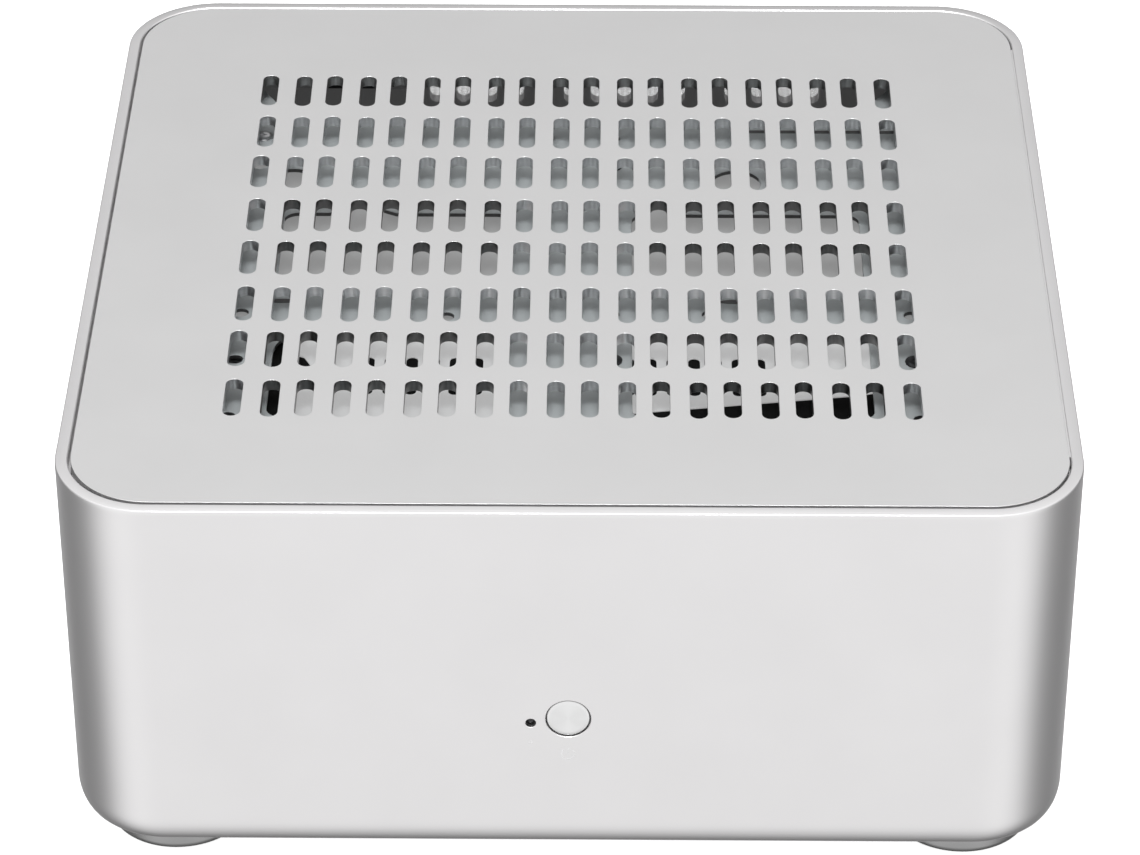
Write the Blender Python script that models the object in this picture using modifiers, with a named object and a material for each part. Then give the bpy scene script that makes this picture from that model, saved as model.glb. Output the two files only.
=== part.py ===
"""A small aluminium desktop computer, as separate parts around a Mini-ITX motherboard.

Run with: blender --background --python part.py
Metres, +Z up. The origin is at the centre of the footprint, on the surface it stands on,
and the front, with the power button, faces -Y.
"""

import math

import bmesh
import bpy
from mathutils import Matrix, Vector

# ---- Driving dimensions -------------------------------------------------------------------

SIDE = 0.200                    # width and depth of the case
SHELL_BOTTOM = 0.008            # the feet lift the shell this far
SHELL_TOP = 0.090
CORNER_RADIUS = 0.019           # vertical corners, outside
WALL = 0.003
GAP = 0.0003                    # between parts that touch
BOTTOM_FILLET = 0.003
RIM_CHAMFER = 0.0004

COVER_TOP = SHELL_TOP
COVER_THICKNESS = 0.0024
COVER_GAP = 0.00045
COVER_CENTRE = (0.00014, 0.00014)   # the cover sits a little off centre in its opening
RIM_WALL = 0.0025               # wall left round the cover, which sits in a shallow rebate
SLOT_ROWS = 8
SLOT_COLUMNS = 20
SLOT_PITCH_X = 0.007072
SLOT_PITCH_Y = 0.017235
SLOT_WIDTH = 0.0035
SLOT_LENGTH = 0.013
SLOT_GRID_CENTRE = (0.00039, -0.00032)
COLUMN_STAGGER = (0.00017, -0.00013)    # the slots are punched in staggered passes
ROW_STAGGER = (0.00017, -0.00023)

TRAY_TOP = 0.0837
TRAY_THICKNESS = 0.001
TRAY_HALF = 0.0955
TRAY_NOTCH = (0.0696, 0.063)    # half width and front edge of the notch at the back
NOTCH_SLANTS = ((0.0633, 0.0728), (-0.0646, 0.0717))    # where each front corner's slant starts in X and ends in Y
WINDOW_LEFT = (-0.0616, -0.0133)
WINDOW_RIGHT = (0.0124, 0.0608)
WINDOW_BACK = (-0.009, 0.0194)
EAR_LEFT = ((-0.0378, 0.0194), (-0.0405, 0.0208), (-0.0415, 0.0240), (-0.0495, 0.0240), (-0.0505, 0.0208), (-0.0520, 0.0194))
EAR_RIGHT = ((0.0225, 0.0194), (0.0210, 0.0208), (0.0205, 0.0240), (0.0157, 0.0240), (0.0152, 0.0208))
WINDOW_FRONT = (-0.0582, -0.027)
WINDOW_FRONT_LEFT = -0.0608     # the front window on the left starts a little further in
TRAY_SPARE_HOLES = ((-0.0258, -0.0211), (0.0284, -0.0200))

FLOOR_BOTTOM = 0.010
FLOOR_THICKNESS = 0.002
FLOOR_TOP = FLOOR_BOTTOM + FLOOR_THICKNESS
FLOOR_VENT_X = 0.030            # centre of each group of floor vents
FLOOR_VENT_Y = 0.0648
FOOT_OFFSET = (0.0799, 0.0783)
FOOT_RADIUS = 0.0150
FOOT_NECK_RADIUS = 0.0126       # above this neck's shoulder the foot clears the base screws
FOOT_SHOULDER = 0.0076
PAD_RADIUS = 0.0120
BOSS_OFFSET = 0.090             # screw bosses in the corners of the shell
BOSS_RADIUS = 0.0036

BOARD_HALF = 0.08509
BOARD_BACK = 0.0935
BOARD_BOTTOM = FLOOR_TOP + 0.00635
BOARD_THICKNESS = 0.0016
BOARD_TOP = BOARD_BOTTOM + BOARD_THICKNESS
BOARD_HOLE_X = 0.07874
BOARD_HOLES_Y = (BOARD_BACK - 0.01016, BOARD_BACK - 0.1651)

IO_WIDTH = 0.15875              # the standard rear connector opening
IO_HEIGHT = 0.04445
IO_CENTRE_Z = BOARD_TOP - 0.00224 + IO_HEIGHT / 2
DC_INLET = (-0.0526, 0.0690)    # X and Z
REAR_VENT_COUNT = 15
REAR_VENT_X = 0.011
REAR_VENT_PITCH = 0.00615
REAR_VENT_Z = (0.066, 0.081)

BUTTON_Z = SHELL_TOP - 0.0496
BUTTON_RADIUS = 0.00425
LIGHT = (-0.0074, SHELL_TOP - 0.0507)
LIGHT_HOLE_RADIUS = 0.00105
SWITCH_BOARD_Y = -0.0880        # front face of the switch board

FAN_CENTRE = (-0.008, 0.020)
FAN_SIDE = 0.092
FAN_BOTTOM = 0.0503
FAN_HEIGHT = 0.015
DUCT_RADIUS = 0.0432

DRIVE_WIDTH = 0.070
DRIVE_LENGTH = 0.100
DRIVE_HEIGHT = 0.007
DRIVE_TOP = 0.0811
DRIVE_X = {"left": -0.0374, "right": 0.0391}
DRIVE_SCREW_X = 0.03086         # half the distance between a drive's rows of screws
DRIVE_SCREW_ROWS = (0.0508, 0.0391, -0.0200, -0.0258, -0.0375, -0.0582)
RIGHT_DRIVE_FRONT = -0.0515
LEFT_DRIVE_BACK = 0.0648

CORNERS = (
    ("front_left", -1, -1),
    ("front_right", 1, -1),
    ("back_left", -1, 1),
    ("back_right", 1, 1),
)

parts = None
helpers = None


# ---- Scene and materials ------------------------------------------------------------------

def new_scene():
    """Empties the scene and makes the two collections."""
    global parts, helpers
    for obj in list(bpy.data.objects):
        bpy.data.objects.remove(obj, do_unlink=True)
    parts = bpy.data.collections.new("desktop_computer")
    helpers = bpy.data.collections.new("cutters")
    bpy.context.scene.collection.children.link(parts)
    bpy.context.scene.collection.children.link(helpers)


def material(name, colour, roughness, metallic=0.0):
    """The named material, made on its first use."""
    found = bpy.data.materials.get(name)
    if found:
        return found
    made = bpy.data.materials.new(name)
    made.use_nodes = True
    shader = made.node_tree.nodes["Principled BSDF"]
    shader.inputs["Base Color"].default_value = (*colour, 1.0)
    shader.inputs["Roughness"].default_value = roughness
    shader.inputs["Metallic"].default_value = metallic
    made.diffuse_color = (*colour, 1.0)
    return made


def case_aluminium():
    return material("case_aluminium", (0.80, 0.80, 0.80), 0.45, 1.0)


def tray_aluminium():
    return material("tray_aluminium", (0.72, 0.74, 0.78), 0.4, 1.0)


def bright_steel():
    return material("bright_steel", (0.62, 0.62, 0.63), 0.3, 1.0)


def gold_brass():
    return material("brass", (0.70, 0.55, 0.28), 0.3, 1.0)


def black_plastic():
    return material("black_plastic", (0.03, 0.03, 0.032), 0.5)


def circuit_board():
    return material("circuit_board", (0.02, 0.05, 0.03), 0.45)


def black_rubber():
    return material("black_rubber", (0.025, 0.025, 0.025), 0.8)


def connector_steel():
    return material("connector_steel", (0.66, 0.66, 0.68), 0.25, 1.0)


def grey_rubber():
    return material("grey_rubber", (0.30, 0.30, 0.31), 0.75)


# ---- Outlines: lists of points, anticlockwise ----------------------------------------------

def arc(cx, cy, radius, start, end, steps):
    """Points from angle start to angle end, in degrees."""
    points = []
    for i in range(steps + 1):
        angle = math.radians(start + (end - start) * i / steps)
        points.append((cx + radius * math.cos(angle), cy + radius * math.sin(angle)))
    return points


def circle(cx, cy, radius, sides=16):
    return arc(cx, cy, radius, 0, 360 * (sides - 1) / sides, sides - 1)


def rectangle(x0, x1, y0, y1, radius=0.0, steps=3):
    """A rectangle, with rounded corners where a radius is given."""
    if radius <= 0:
        return [(x0, y0), (x1, y0), (x1, y1), (x0, y1)]
    return (
        arc(x1 - radius, y0 + radius, radius, -90, 0, steps)
        + arc(x1 - radius, y1 - radius, radius, 0, 90, steps)
        + arc(x0 + radius, y1 - radius, radius, 90, 180, steps)
        + arc(x0 + radius, y0 + radius, radius, 180, 270, steps)
    )


def square(half, radius, steps=8):
    return rectangle(-half, half, -half, half, radius, steps)


def obround(cx, cy, width, length, steps=3):
    """A slot with round ends that runs along Y."""
    radius = width / 2
    reach = length / 2 - radius
    return arc(cx, cy + reach, radius, 0, 180, steps) + arc(cx, cy - reach, radius, 180, 360, steps)


# ---- Building blocks ----------------------------------------------------------------------

def add(name, mesh, surface, smooth=True):
    """Links a new object for the mesh, with its material."""
    obj = bpy.data.objects.new(name, mesh)
    parts.objects.link(obj)
    mesh.materials.clear()
    mesh.materials.append(surface)
    if smooth:
        mesh.shade_smooth()
        mesh.set_sharp_from_angle(angle=math.radians(30))
    return obj


def plate(name, outlines, low, high, surface, upright=False):
    """A plate between two heights: the first outline is its edge, and the others are holes.

    An upright plate stands between two values of Y, and its outlines hold X and Z.
    """
    curve = bpy.data.curves.new(name, "CURVE")
    curve.dimensions = "2D"
    curve.fill_mode = "BOTH"
    curve.extrude = (high - low) / 2
    for outline in outlines:
        spline = curve.splines.new("POLY")
        spline.points.add(len(outline) - 1)
        for point, (x, y) in zip(spline.points, outline):
            point.co = (x, y, 0, 1)
        spline.use_cyclic_u = True
    flat = bpy.data.objects.new(name, curve)
    if upright:
        flat.location.y = (low + high) / 2
        flat.rotation_euler.x = math.radians(90)
    else:
        flat.location.z = (low + high) / 2
    parts.objects.link(flat)
    return as_mesh(flat, surface)


def as_mesh(source, surface):
    """Swaps a curve object for a mesh object with its caps welded on."""
    name = source.name
    bpy.context.view_layer.update()
    graph = bpy.context.evaluated_depsgraph_get()
    mesh = bpy.data.meshes.new_from_object(source.evaluated_get(graph))
    matrix = source.matrix_world.copy()
    curve = source.data
    bpy.data.objects.remove(source)
    bpy.data.curves.remove(curve)
    shape = bmesh.new()
    shape.from_mesh(mesh)
    bmesh.ops.remove_doubles(shape, verts=shape.verts, dist=0.000001)
    bmesh.ops.recalc_face_normals(shape, faces=shape.faces)
    shape.to_mesh(mesh)
    shape.free()
    mesh.name = name
    solid = add(name, mesh, surface)
    solid.matrix_world = matrix
    return solid


def flatten_faces(obj):
    """Joins triangles that lie in one plane into one face."""
    shape = bmesh.new()
    shape.from_mesh(obj.data)
    bmesh.ops.dissolve_limit(
        shape, angle_limit=math.radians(1), verts=shape.verts, edges=shape.edges
    )
    shape.to_mesh(obj.data)
    shape.free()


def box(name, x, y, z, surface, bevel=0.0):
    """A box between the two values of each axis."""
    shape = bmesh.new()
    bmesh.ops.create_cube(shape, size=1.0)
    size = (x[1] - x[0], y[1] - y[0], z[1] - z[0])
    middle = ((x[0] + x[1]) / 2, (y[0] + y[1]) / 2, (z[0] + z[1]) / 2)
    bmesh.ops.scale(shape, vec=size, verts=shape.verts)
    mesh = bpy.data.meshes.new(name)
    shape.to_mesh(mesh)
    shape.free()
    obj = add(name, mesh, surface, smooth=False)
    obj.location = middle
    if bevel:
        edge = obj.modifiers.new("edges", "BEVEL")
        edge.width = bevel
        edge.segments = 1
    return obj


def rod(name, start, end, radius, surface, sides=12):
    """A cylinder between two points."""
    along = Vector(end) - Vector(start)
    shape = bmesh.new()
    bmesh.ops.create_cone(
        shape, cap_ends=True, segments=sides, radius1=radius, radius2=radius, depth=along.length
    )
    mesh = bpy.data.meshes.new(name)
    shape.to_mesh(mesh)
    shape.free()
    obj = add(name, mesh, surface)
    obj.location = (Vector(start) + Vector(end)) / 2
    obj.rotation_euler = along.to_track_quat("Z", "Y").to_euler()
    return obj


def turned(name, profile, surface, location=(0, 0, 0), rotation=(0, 0, 0), steps=24):
    """A profile of (radius, height) points, listed from top to bottom, turned about Z."""
    mesh = bpy.data.meshes.new(name)
    points = [(radius, 0, height) for radius, height in profile]
    mesh.from_pydata(points, [(i, i + 1) for i in range(len(points) - 1)], [])
    obj = add(name, mesh, surface, smooth=False)
    obj.location = location
    obj.rotation_euler = rotation
    spin = obj.modifiers.new("turn", "SCREW")
    spin.steps = steps
    spin.render_steps = steps
    spin.use_merge_vertices = True
    spin.merge_threshold = 0.00001
    spin.use_smooth_shade = False
    return obj


def wire(name, points, radius, surface, sides=2):
    """A round bar or cable along the points."""
    curve = bpy.data.curves.new(name, "CURVE")
    curve.dimensions = "3D"
    curve.bevel_depth = radius
    curve.bevel_resolution = sides
    curve.use_fill_caps = True
    spline = curve.splines.new("POLY")
    spline.points.add(len(points) - 1)
    for point, place in zip(spline.points, points):
        point.co = (*place, 1)
    obj = bpy.data.objects.new(name, curve)
    parts.objects.link(obj)
    return as_mesh(obj, surface)


def smooth_route(points, per_span=4):
    """Points on a smooth curve through the given points."""
    route = []
    ends = [points[0]] + list(points) + [points[-1]]
    for i in range(1, len(ends) - 2):
        before, a, b, after = ends[i - 1:i + 3]
        for step in range(per_span):
            t = step / per_span
            route.append(tuple(
                0.5 * (2 * q + (r - p) * t + (2 * p - 5 * q + 4 * r - s) * t * t
                       + (3 * q - p - 3 * r + s) * t ** 3)
                for p, q, r, s in zip(before, a, b, after)
            ))
    route.append(points[-1])
    return route


def combine(target, tools, operation, solver="EXACT"):
    """Boolean modifiers on target, one for each tool, which is hidden."""
    for tool in tools:
        parts.objects.unlink(tool)
        helpers.objects.link(tool)
        tool.hide_render = True
        tool.display_type = "WIRE"
        step = target.modifiers.new(tool.name, "BOOLEAN")
        step.operation = operation
        step.solver = solver
        step.object = tool
    return target


def cut(target, *tools):
    return combine(target, tools, "DIFFERENCE")


def fuse(target, *tools):
    return combine(target, tools, "UNION")


def opening(name, outline, y0, y1):
    """A cutter through the XZ plane."""
    return plate(name, [outline], y0, y1, black_plastic(), upright=True)


# ---- The case -----------------------------------------------------------------------------

def shell_blank():
    """The solid outer form, with its bottom fillet and its bright top chamfer."""
    blank = plate("shell", [square(SIDE / 2, CORNER_RADIUS)], SHELL_BOTTOM, SHELL_TOP, case_aluminium())
    flatten_faces(blank)
    mesh = blank.data
    weights = mesh.attributes.new("bevel_weight_edge", "FLOAT", "EDGE")
    for edge in mesh.edges:
        heights = [mesh.vertices[index].co.z for index in edge.vertices]
        if max(heights) < 0:
            weights.data[edge.index].value = 1.0
        elif min(heights) > 0:
            weights.data[edge.index].value = RIM_CHAMFER / BOTTOM_FILLET
    fillet = blank.modifiers.new("fillet", "BEVEL")
    fillet.limit_method = "WEIGHT"
    fillet.width = BOTTOM_FILLET
    fillet.segments = 3
    return blank


def make_shell():
    shell = shell_blank()
    inner = SIDE / 2 - WALL
    cavity = plate(
        "shell_cavity", [square(inner, CORNER_RADIUS - WALL)],
        SHELL_BOTTOM - WALL, SHELL_TOP + WALL, black_plastic(),
    )
    cut(shell, cavity)
    rebate = plate(
        "cover_rebate", [square(SIDE / 2 - RIM_WALL, CORNER_RADIUS - RIM_WALL)],
        SHELL_TOP - COVER_THICKNESS - GAP, SHELL_TOP + WALL, black_plastic(),
    )
    cut(shell, rebate)
    boss_bottom = FLOOR_TOP + GAP
    boss_top = TRAY_TOP - TRAY_THICKNESS - GAP
    for name, sx, sy in CORNERS:
        x, y = sx * BOSS_OFFSET, sy * BOSS_OFFSET
        boss = rod("boss_" + name, (x, y, boss_bottom), (x, y, boss_top), BOSS_RADIUS, case_aluminium())
        fuse(shell, boss)
        for end, z in (("low", boss_bottom), ("high", boss_top)):
            drill = rod(f"boss_hole_{end}_{name}", (x, y, z - 0.009), (x, y, z + 0.009), 0.0016,
                        black_plastic(), sides=8)
            cut(shell, drill)
    back = (inner - 0.003, SIDE / 2 + 0.003)
    half = IO_WIDTH / 2
    aperture = rectangle(-half, half, IO_CENTRE_Z - IO_HEIGHT / 2, IO_CENTRE_Z + IO_HEIGHT / 2)
    cut(shell, opening("io_aperture", aperture, *back))
    cut(shell, opening("dc_hole", circle(*DC_INLET, 0.004), *back))
    for i in range(REAR_VENT_COUNT):
        x = REAR_VENT_X + (i - (REAR_VENT_COUNT - 1) / 2) * REAR_VENT_PITCH
        low, high = REAR_VENT_Z
        slot = obround(x, (low + high) / 2, 0.0032, high - low)
        cut(shell, opening(f"rear_vent_{i}", slot, *back))
    front = (-SIDE / 2 - 0.003, -inner + 0.003)
    cut(shell, opening("button_hole", circle(0, BUTTON_Z, BUTTON_RADIUS + GAP, 24), *front))
    cut(shell, opening("light_hole", circle(*LIGHT, LIGHT_HOLE_RADIUS, 12), *front))


def make_base_plate():
    half = SIDE / 2 - WALL - GAP
    outlines = [square(half, CORNER_RADIUS - WALL - GAP, 6)]
    for side in (-1, 1):
        for i in range(7):
            x = side * FLOOR_VENT_X + (i - 3) * 0.005
            outlines.append(obround(x, FLOOR_VENT_Y, 0.0028, 0.0157))
    for _, sx, sy in CORNERS:
        outlines.append(circle(sx * BOSS_OFFSET, sy * BOSS_OFFSET, 0.0016, 8))
        outlines.append(circle(sx * FOOT_OFFSET[0], sy * FOOT_OFFSET[1], 0.0022, 8))
    plate("base_plate", outlines, FLOOR_BOTTOM, FLOOR_TOP, case_aluminium())


def slot_centre(row, column):
    """Centre of a cover slot; row 0 is at the back. Odd and even columns and rows stand a little apart."""
    by_column = 1 if column % 2 else -1
    by_row = 1 if row % 2 else -1
    x = SLOT_GRID_CENTRE[0] + (column - (SLOT_COLUMNS - 1) / 2) * SLOT_PITCH_X
    y = SLOT_GRID_CENTRE[1] + ((SLOT_ROWS - 1) / 2 - row) * SLOT_PITCH_Y
    x += by_column * COLUMN_STAGGER[0] + by_row * ROW_STAGGER[0]
    y += by_column * COLUMN_STAGGER[1] + by_row * ROW_STAGGER[1]
    return x, y


def make_top_cover():
    half = SIDE / 2 - RIM_WALL - COVER_GAP
    shift_x, shift_y = COVER_CENTRE
    edge = square(half, CORNER_RADIUS - RIM_WALL - COVER_GAP / 2)
    outlines = [[(x + shift_x, y + shift_y) for x, y in edge]]
    for row in range(SLOT_ROWS):
        for column in range(SLOT_COLUMNS):
            outlines.append(obround(*slot_centre(row, column), SLOT_WIDTH, SLOT_LENGTH))
    bottom = COVER_TOP - COVER_THICKNESS
    cover = plate("top_cover", outlines, bottom, COVER_TOP, case_aluminium())
    for name, sx, sy in CORNERS:
        x, y = sx * BOSS_OFFSET, sy * BOSS_OFFSET
        socket = rod("cover_socket_" + name, (x, y, bottom - 0.001), (x, y, bottom + 0.0016), 0.0015,
                     black_plastic(), sides=8)
        combine(cover, [socket], "DIFFERENCE", "MANIFOLD")


def eared_window(x0, x1, y0, y1, ear, radius=0.003):
    """A window whose back edge widens into a small ear with sloping sides."""
    return (
        arc(x0 + radius, y0 + radius, radius, 180, 270, 4)
        + arc(x1 - radius, y0 + radius, radius, 270, 360, 4)
        + arc(x1 - radius, y1 - radius, radius, 0, 90, 4)
        + list(ear)
        + arc(x0 + radius, y1 - radius, radius, 90, 180, 4)
    )


def make_drive_tray():
    half = TRAY_HALF
    notch, notch_y = TRAY_NOTCH
    (right_x, right_y), (left_x, left_y) = NOTCH_SLANTS
    corner = 0.0135
    r = 0.004
    outline = (
        arc(half - corner, -half + corner, corner, -90, 0, 6)
        + arc(half - corner, half - corner, corner, 0, 90, 6)
        + arc(notch + r, half - r, r, 90, 180, 3)
        + [(notch, right_y), (right_x, notch_y), (left_x, notch_y), (-notch, left_y)]
        + arc(-notch - r, half - r, r, 0, 90, 3)
        + arc(-half + corner, half - corner, corner, 90, 180, 6)
        + arc(-half + corner, -half + corner, corner, 180, 270, 6)
    )
    outlines = [outline]
    for (x0, x1), ear in ((WINDOW_LEFT, EAR_LEFT), (WINDOW_RIGHT, EAR_RIGHT)):
        outlines.append(eared_window(x0, x1, *WINDOW_BACK, ear))
    y0, y1 = WINDOW_FRONT
    x0, x1 = WINDOW_FRONT_LEFT, WINDOW_LEFT[1]
    wide, r = 0.0077, 0.003                 # one corner is rounder than the others
    outlines.append(
        arc(x0 + r, y0 + r, r, 180, 270, 4) + arc(x1 - r, y0 + r, r, 270, 360, 4)
        + arc(x1 - r, y1 - r, r, 0, 90, 4) + arc(x0 + wide, y1 - wide, wide, 90, 180, 6)
    )
    outlines.append(rectangle(*WINDOW_RIGHT, y0, y1, r))
    for centre in DRIVE_X.values():
        for row in DRIVE_SCREW_ROWS:
            for offset in (-DRIVE_SCREW_X, DRIVE_SCREW_X):
                outlines.append(circle(centre + offset, row, 0.0016, 6))
    for x, y in TRAY_SPARE_HOLES:
        outlines.append(circle(x, y, 0.0016, 6))
    outlines.append(circle(-0.0607, 0.0325, 0.005, 14))
    outlines.append(circle(0.0349, 0.0322, 0.0054, 14))
    for _, sx, sy in CORNERS:
        outlines.append(circle(sx * BOSS_OFFSET, sy * BOSS_OFFSET, 0.0016, 8))
    plate("drive_tray", outlines, TRAY_TOP - TRAY_THICKNESS, TRAY_TOP, tray_aluminium())


def make_feet():
    top = FLOOR_BOTTOM - GAP
    for name, sx, sy in CORNERS:
        x, y = sx * FOOT_OFFSET[0], sy * FOOT_OFFSET[1]
        recess = PAD_RADIUS + GAP
        profile = (
            (0, FLOOR_TOP - GAP), (0.0018, FLOOR_TOP - GAP), (0.0018, top), (FOOT_NECK_RADIUS, top),
            (FOOT_NECK_RADIUS, FOOT_SHOULDER), (FOOT_RADIUS, FOOT_SHOULDER - 0.0003),
            (FOOT_RADIUS, 0.0014), (FOOT_RADIUS - 0.0008, 0.0006), (recess, 0.0006),
            (recess, 0.0018), (0, 0.0018),
        )
        turned("foot_" + name, profile, case_aluminium(), (x, y, 0))
        rod("foot_pad_" + name, (x, y, 0), (x, y, 0.0015), PAD_RADIUS, grey_rubber(), sides=24)


def make_case_screws():
    """Screws that hold the base plate to the shell, and studs that hold the tray and locate the cover."""
    for name, sx, sy in CORNERS:
        x, y = sx * BOSS_OFFSET, sy * BOSS_OFFSET
        head = FLOOR_BOTTOM - GAP
        profile = (
            (0, head + 0.0085), (0.00125, head + 0.0085), (0.00125, head),
            (0.0025, head), (0.0025, head - 0.0015), (0, head - 0.0015),
        )
        turned("base_screw_" + name, profile, bright_steel(), (x, y, 0), steps=10)
        low = TRAY_TOP + GAP
        pin = low + 0.0045
        stud = (
            (0, pin), (0.0008, pin), (0.0012, pin - 0.0004), (0.0012, low + 0.0024),
            (0.0025, low + 0.0024), (0.0025, low), (0.00125, low), (0.00125, low - 0.0085), (0, low - 0.0085),
        )
        turned("tray_stud_" + name, stud, bright_steel(), (x, y, 0), steps=10)


# ---- Motherboard and what stands on it ----------------------------------------------------

def make_motherboard():
    back = BOARD_BACK
    outlines = [rectangle(-BOARD_HALF, BOARD_HALF, back - 2 * BOARD_HALF, back)]
    for sx in (-1, 1):
        for y in BOARD_HOLES_Y:
            outlines.append(circle(sx * BOARD_HOLE_X, y, 0.00198, 8))
    plate("motherboard", outlines, BOARD_BOTTOM, BOARD_TOP, circuit_board())
    for name, sx, sy in CORNERS:
        x, y = sx * BOARD_HOLE_X, BOARD_HOLES_Y[sy < 0]
        rod("standoff_" + name, (x, y, FLOOR_TOP + GAP), (x, y, BOARD_BOTTOM - GAP), 0.003,
            gold_brass(), sides=6)
        low = BOARD_TOP + GAP
        profile = (
            (0, low + 0.0018), (0.0022, low + 0.0018), (0.0030, low + 0.0008), (0.0030, low),
            (0.0015, low), (0.0015, BOARD_BOTTOM), (0, BOARD_BOTTOM),
        )
        turned("board_screw_" + name, profile, bright_steel(), (x, y, 0), steps=8)


def make_io_shield():
    width, height = IO_WIDTH / 2 + 0.0025, IO_HEIGHT / 2 + 0.0015
    outlines = [rectangle(-width, width, IO_CENTRE_Z - height, IO_CENTRE_Z + height, 0.002, 2)]
    for low, high, top in PORT_SPANS.values():
        outlines.append(rectangle(low - GAP, high + GAP, BOARD_TOP, top + GAP))
    y = SIDE / 2 - WALL - GAP
    plate("io_shield", outlines, y - 0.0006, y, connector_steel(), upright=True)


# X from, X to and top of each block of rear connectors.
PORT_SPANS = {
    "usb_ports": (-0.0725, -0.0578, BOARD_TOP + 0.0163),
    "video_ports": (-0.0480, -0.0300, BOARD_TOP + 0.0200),
    "network_usb_ports": (-0.0180, -0.0018, BOARD_TOP + 0.0285),
    "audio_jacks": (0.0200, 0.0620, BOARD_TOP + 0.0115),
}
PORT_FRONT = 0.0760
PORT_BACK = 0.0985


def socket_cutter(name, x, z, width, height, depth=0.010):
    """A rectangular socket that opens at the back."""
    outline = rectangle(x - width / 2, x + width / 2, z - height / 2, z + height / 2)
    return opening(name, outline, PORT_BACK - depth, PORT_BACK + 0.001)


def make_rear_ports():
    low = BOARD_TOP + GAP
    for name, (x0, x1, top) in PORT_SPANS.items():
        surface = black_plastic() if name == "audio_jacks" else connector_steel()
        block = box(name, (x0, x1), (PORT_FRONT, PORT_BACK), (low, top), surface)
        middle = (x0 + x1) / 2
        if name == "usb_ports":
            for i, z in enumerate((low + 0.0040, low + 0.0119)):
                cut(block, socket_cutter(f"usb_socket_{i}", middle, z, 0.0125, 0.0052))
        elif name == "video_ports":
            cut(block, socket_cutter("hdmi_socket", middle, low + 0.0048, 0.0141, 0.0048))
            cut(block, socket_cutter("display_socket", middle, low + 0.0148, 0.0161, 0.0050))
        elif name == "network_usb_ports":
            for i, z in enumerate((low + 0.0036, low + 0.0102)):
                cut(block, socket_cutter(f"lower_usb_socket_{i}", middle, z, 0.0125, 0.0050))
            cut(block, socket_cutter("network_socket", middle, low + 0.0205, 0.0118, 0.0100, 0.014))
        else:
            for i in range(3):
                x = x0 + 0.0075 + i * 0.0135
                bore = opening(f"audio_bore_{i}", circle(x, low + 0.0058, 0.0018, 12), 0.0845, 0.0995)
                cut(block, bore)


def make_processor():
    x, y = FAN_CENTRE
    low = BOARD_TOP + GAP
    box("cpu_socket", (x - 0.021, x + 0.021), (y - 0.024, y + 0.024), (low, low + 0.004), black_plastic(), 0.0006)
    low += 0.004 + GAP
    cpu = box("processor", (x - 0.01875, x + 0.01875), (y - 0.01875, y + 0.01875), (low, low + 0.0011),
              circuit_board())
    lid = box("processor_lid", (x - 0.0155, x + 0.0155), (y - 0.0155, y + 0.0155),
              (low + 0.0006, low + 0.0029), bright_steel())
    fuse(cpu, lid)
    bottom = low + 0.0029 + GAP
    top = FAN_BOTTOM - GAP
    base, fin, count = 0.0045, 0.0011, 17
    half = 0.045
    outline = [(x + half, bottom), (x + half, top)]
    pitch = (2 * half - fin) / (count - 1)
    for i in range(count - 1):
        right = x + half - fin - i * pitch
        left = x + half - (i + 1) * pitch
        outline += [(right, top), (right, bottom + base), (left, bottom + base), (left, top)]
    outline += [(x - half, top), (x - half, bottom)]
    plate("heatsink", [outline], y - half, y + half, tray_aluminium(), upright=True)


def make_fan():
    x, y = FAN_CENTRE
    half = FAN_SIDE / 2
    outlines = [
        rectangle(x - half, x + half, y - half, y + half, 0.004),
        circle(x, y, DUCT_RADIUS, 40),
    ]
    for _, sx, sy in CORNERS:
        outlines.append(circle(x + sx * 0.04125, y + sy * 0.04125, 0.0021, 8))
    frame = plate("fan_frame", outlines, FAN_BOTTOM, FAN_BOTTOM + FAN_HEIGHT, black_plastic())
    strut_top = FAN_BOTTOM + 0.0028
    hub = rod("fan_motor_seat", (x, y, FAN_BOTTOM + 0.0001), (x, y, strut_top), 0.0185, black_plastic(), sides=20)
    length = DUCT_RADIUS + 0.001
    strut = (FAN_BOTTOM + 0.0002, FAN_BOTTOM + 0.0022)
    along_x = box("fan_struts_x", (x - length, x + length), (y - 0.0015, y + 0.0015), strut, black_plastic())
    along_y = box("fan_struts_y", (x - 0.0015, x + 0.0015), (y - length, y + length), strut, black_plastic())
    fuse(frame, hub, along_x, along_y)
    make_rotor(x, y, strut_top + 0.0008)


def make_rotor(x, y, bottom):
    """The fan's hub with its pitched blades, on the spin axis."""
    top = FAN_BOTTOM + FAN_HEIGHT - 0.0008
    hub_radius, tip_radius = 0.0180, 0.0415
    profile = (
        (0, top), (hub_radius - 0.0015, top), (hub_radius, top - 0.0015),
        (hub_radius, bottom), (0, bottom),
    )
    rotor = turned("fan_rotor", profile, black_plastic(), (x, y, 0), steps=28)
    blade_count = 7
    blade_length = tip_radius - hub_radius + 0.002
    middle = (bottom + top) / 2
    for i in range(blade_count):
        blade = box(f"fan_blade_{i}", (-blade_length / 2, blade_length / 2), (-0.0115, 0.0115),
                    (-0.0006, 0.0006), black_plastic())
        out = Matrix.Translation((tip_radius - blade_length / 2, 0, 0))
        pitch = Matrix.Rotation(math.radians(24), 4, "X")
        turn = Matrix.Rotation(2 * math.pi * i / blade_count, 4, "Z")
        blade.matrix_world = Matrix.Translation((x, y, middle)) @ turn @ out @ pitch
        fuse(rotor, blade)


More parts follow.
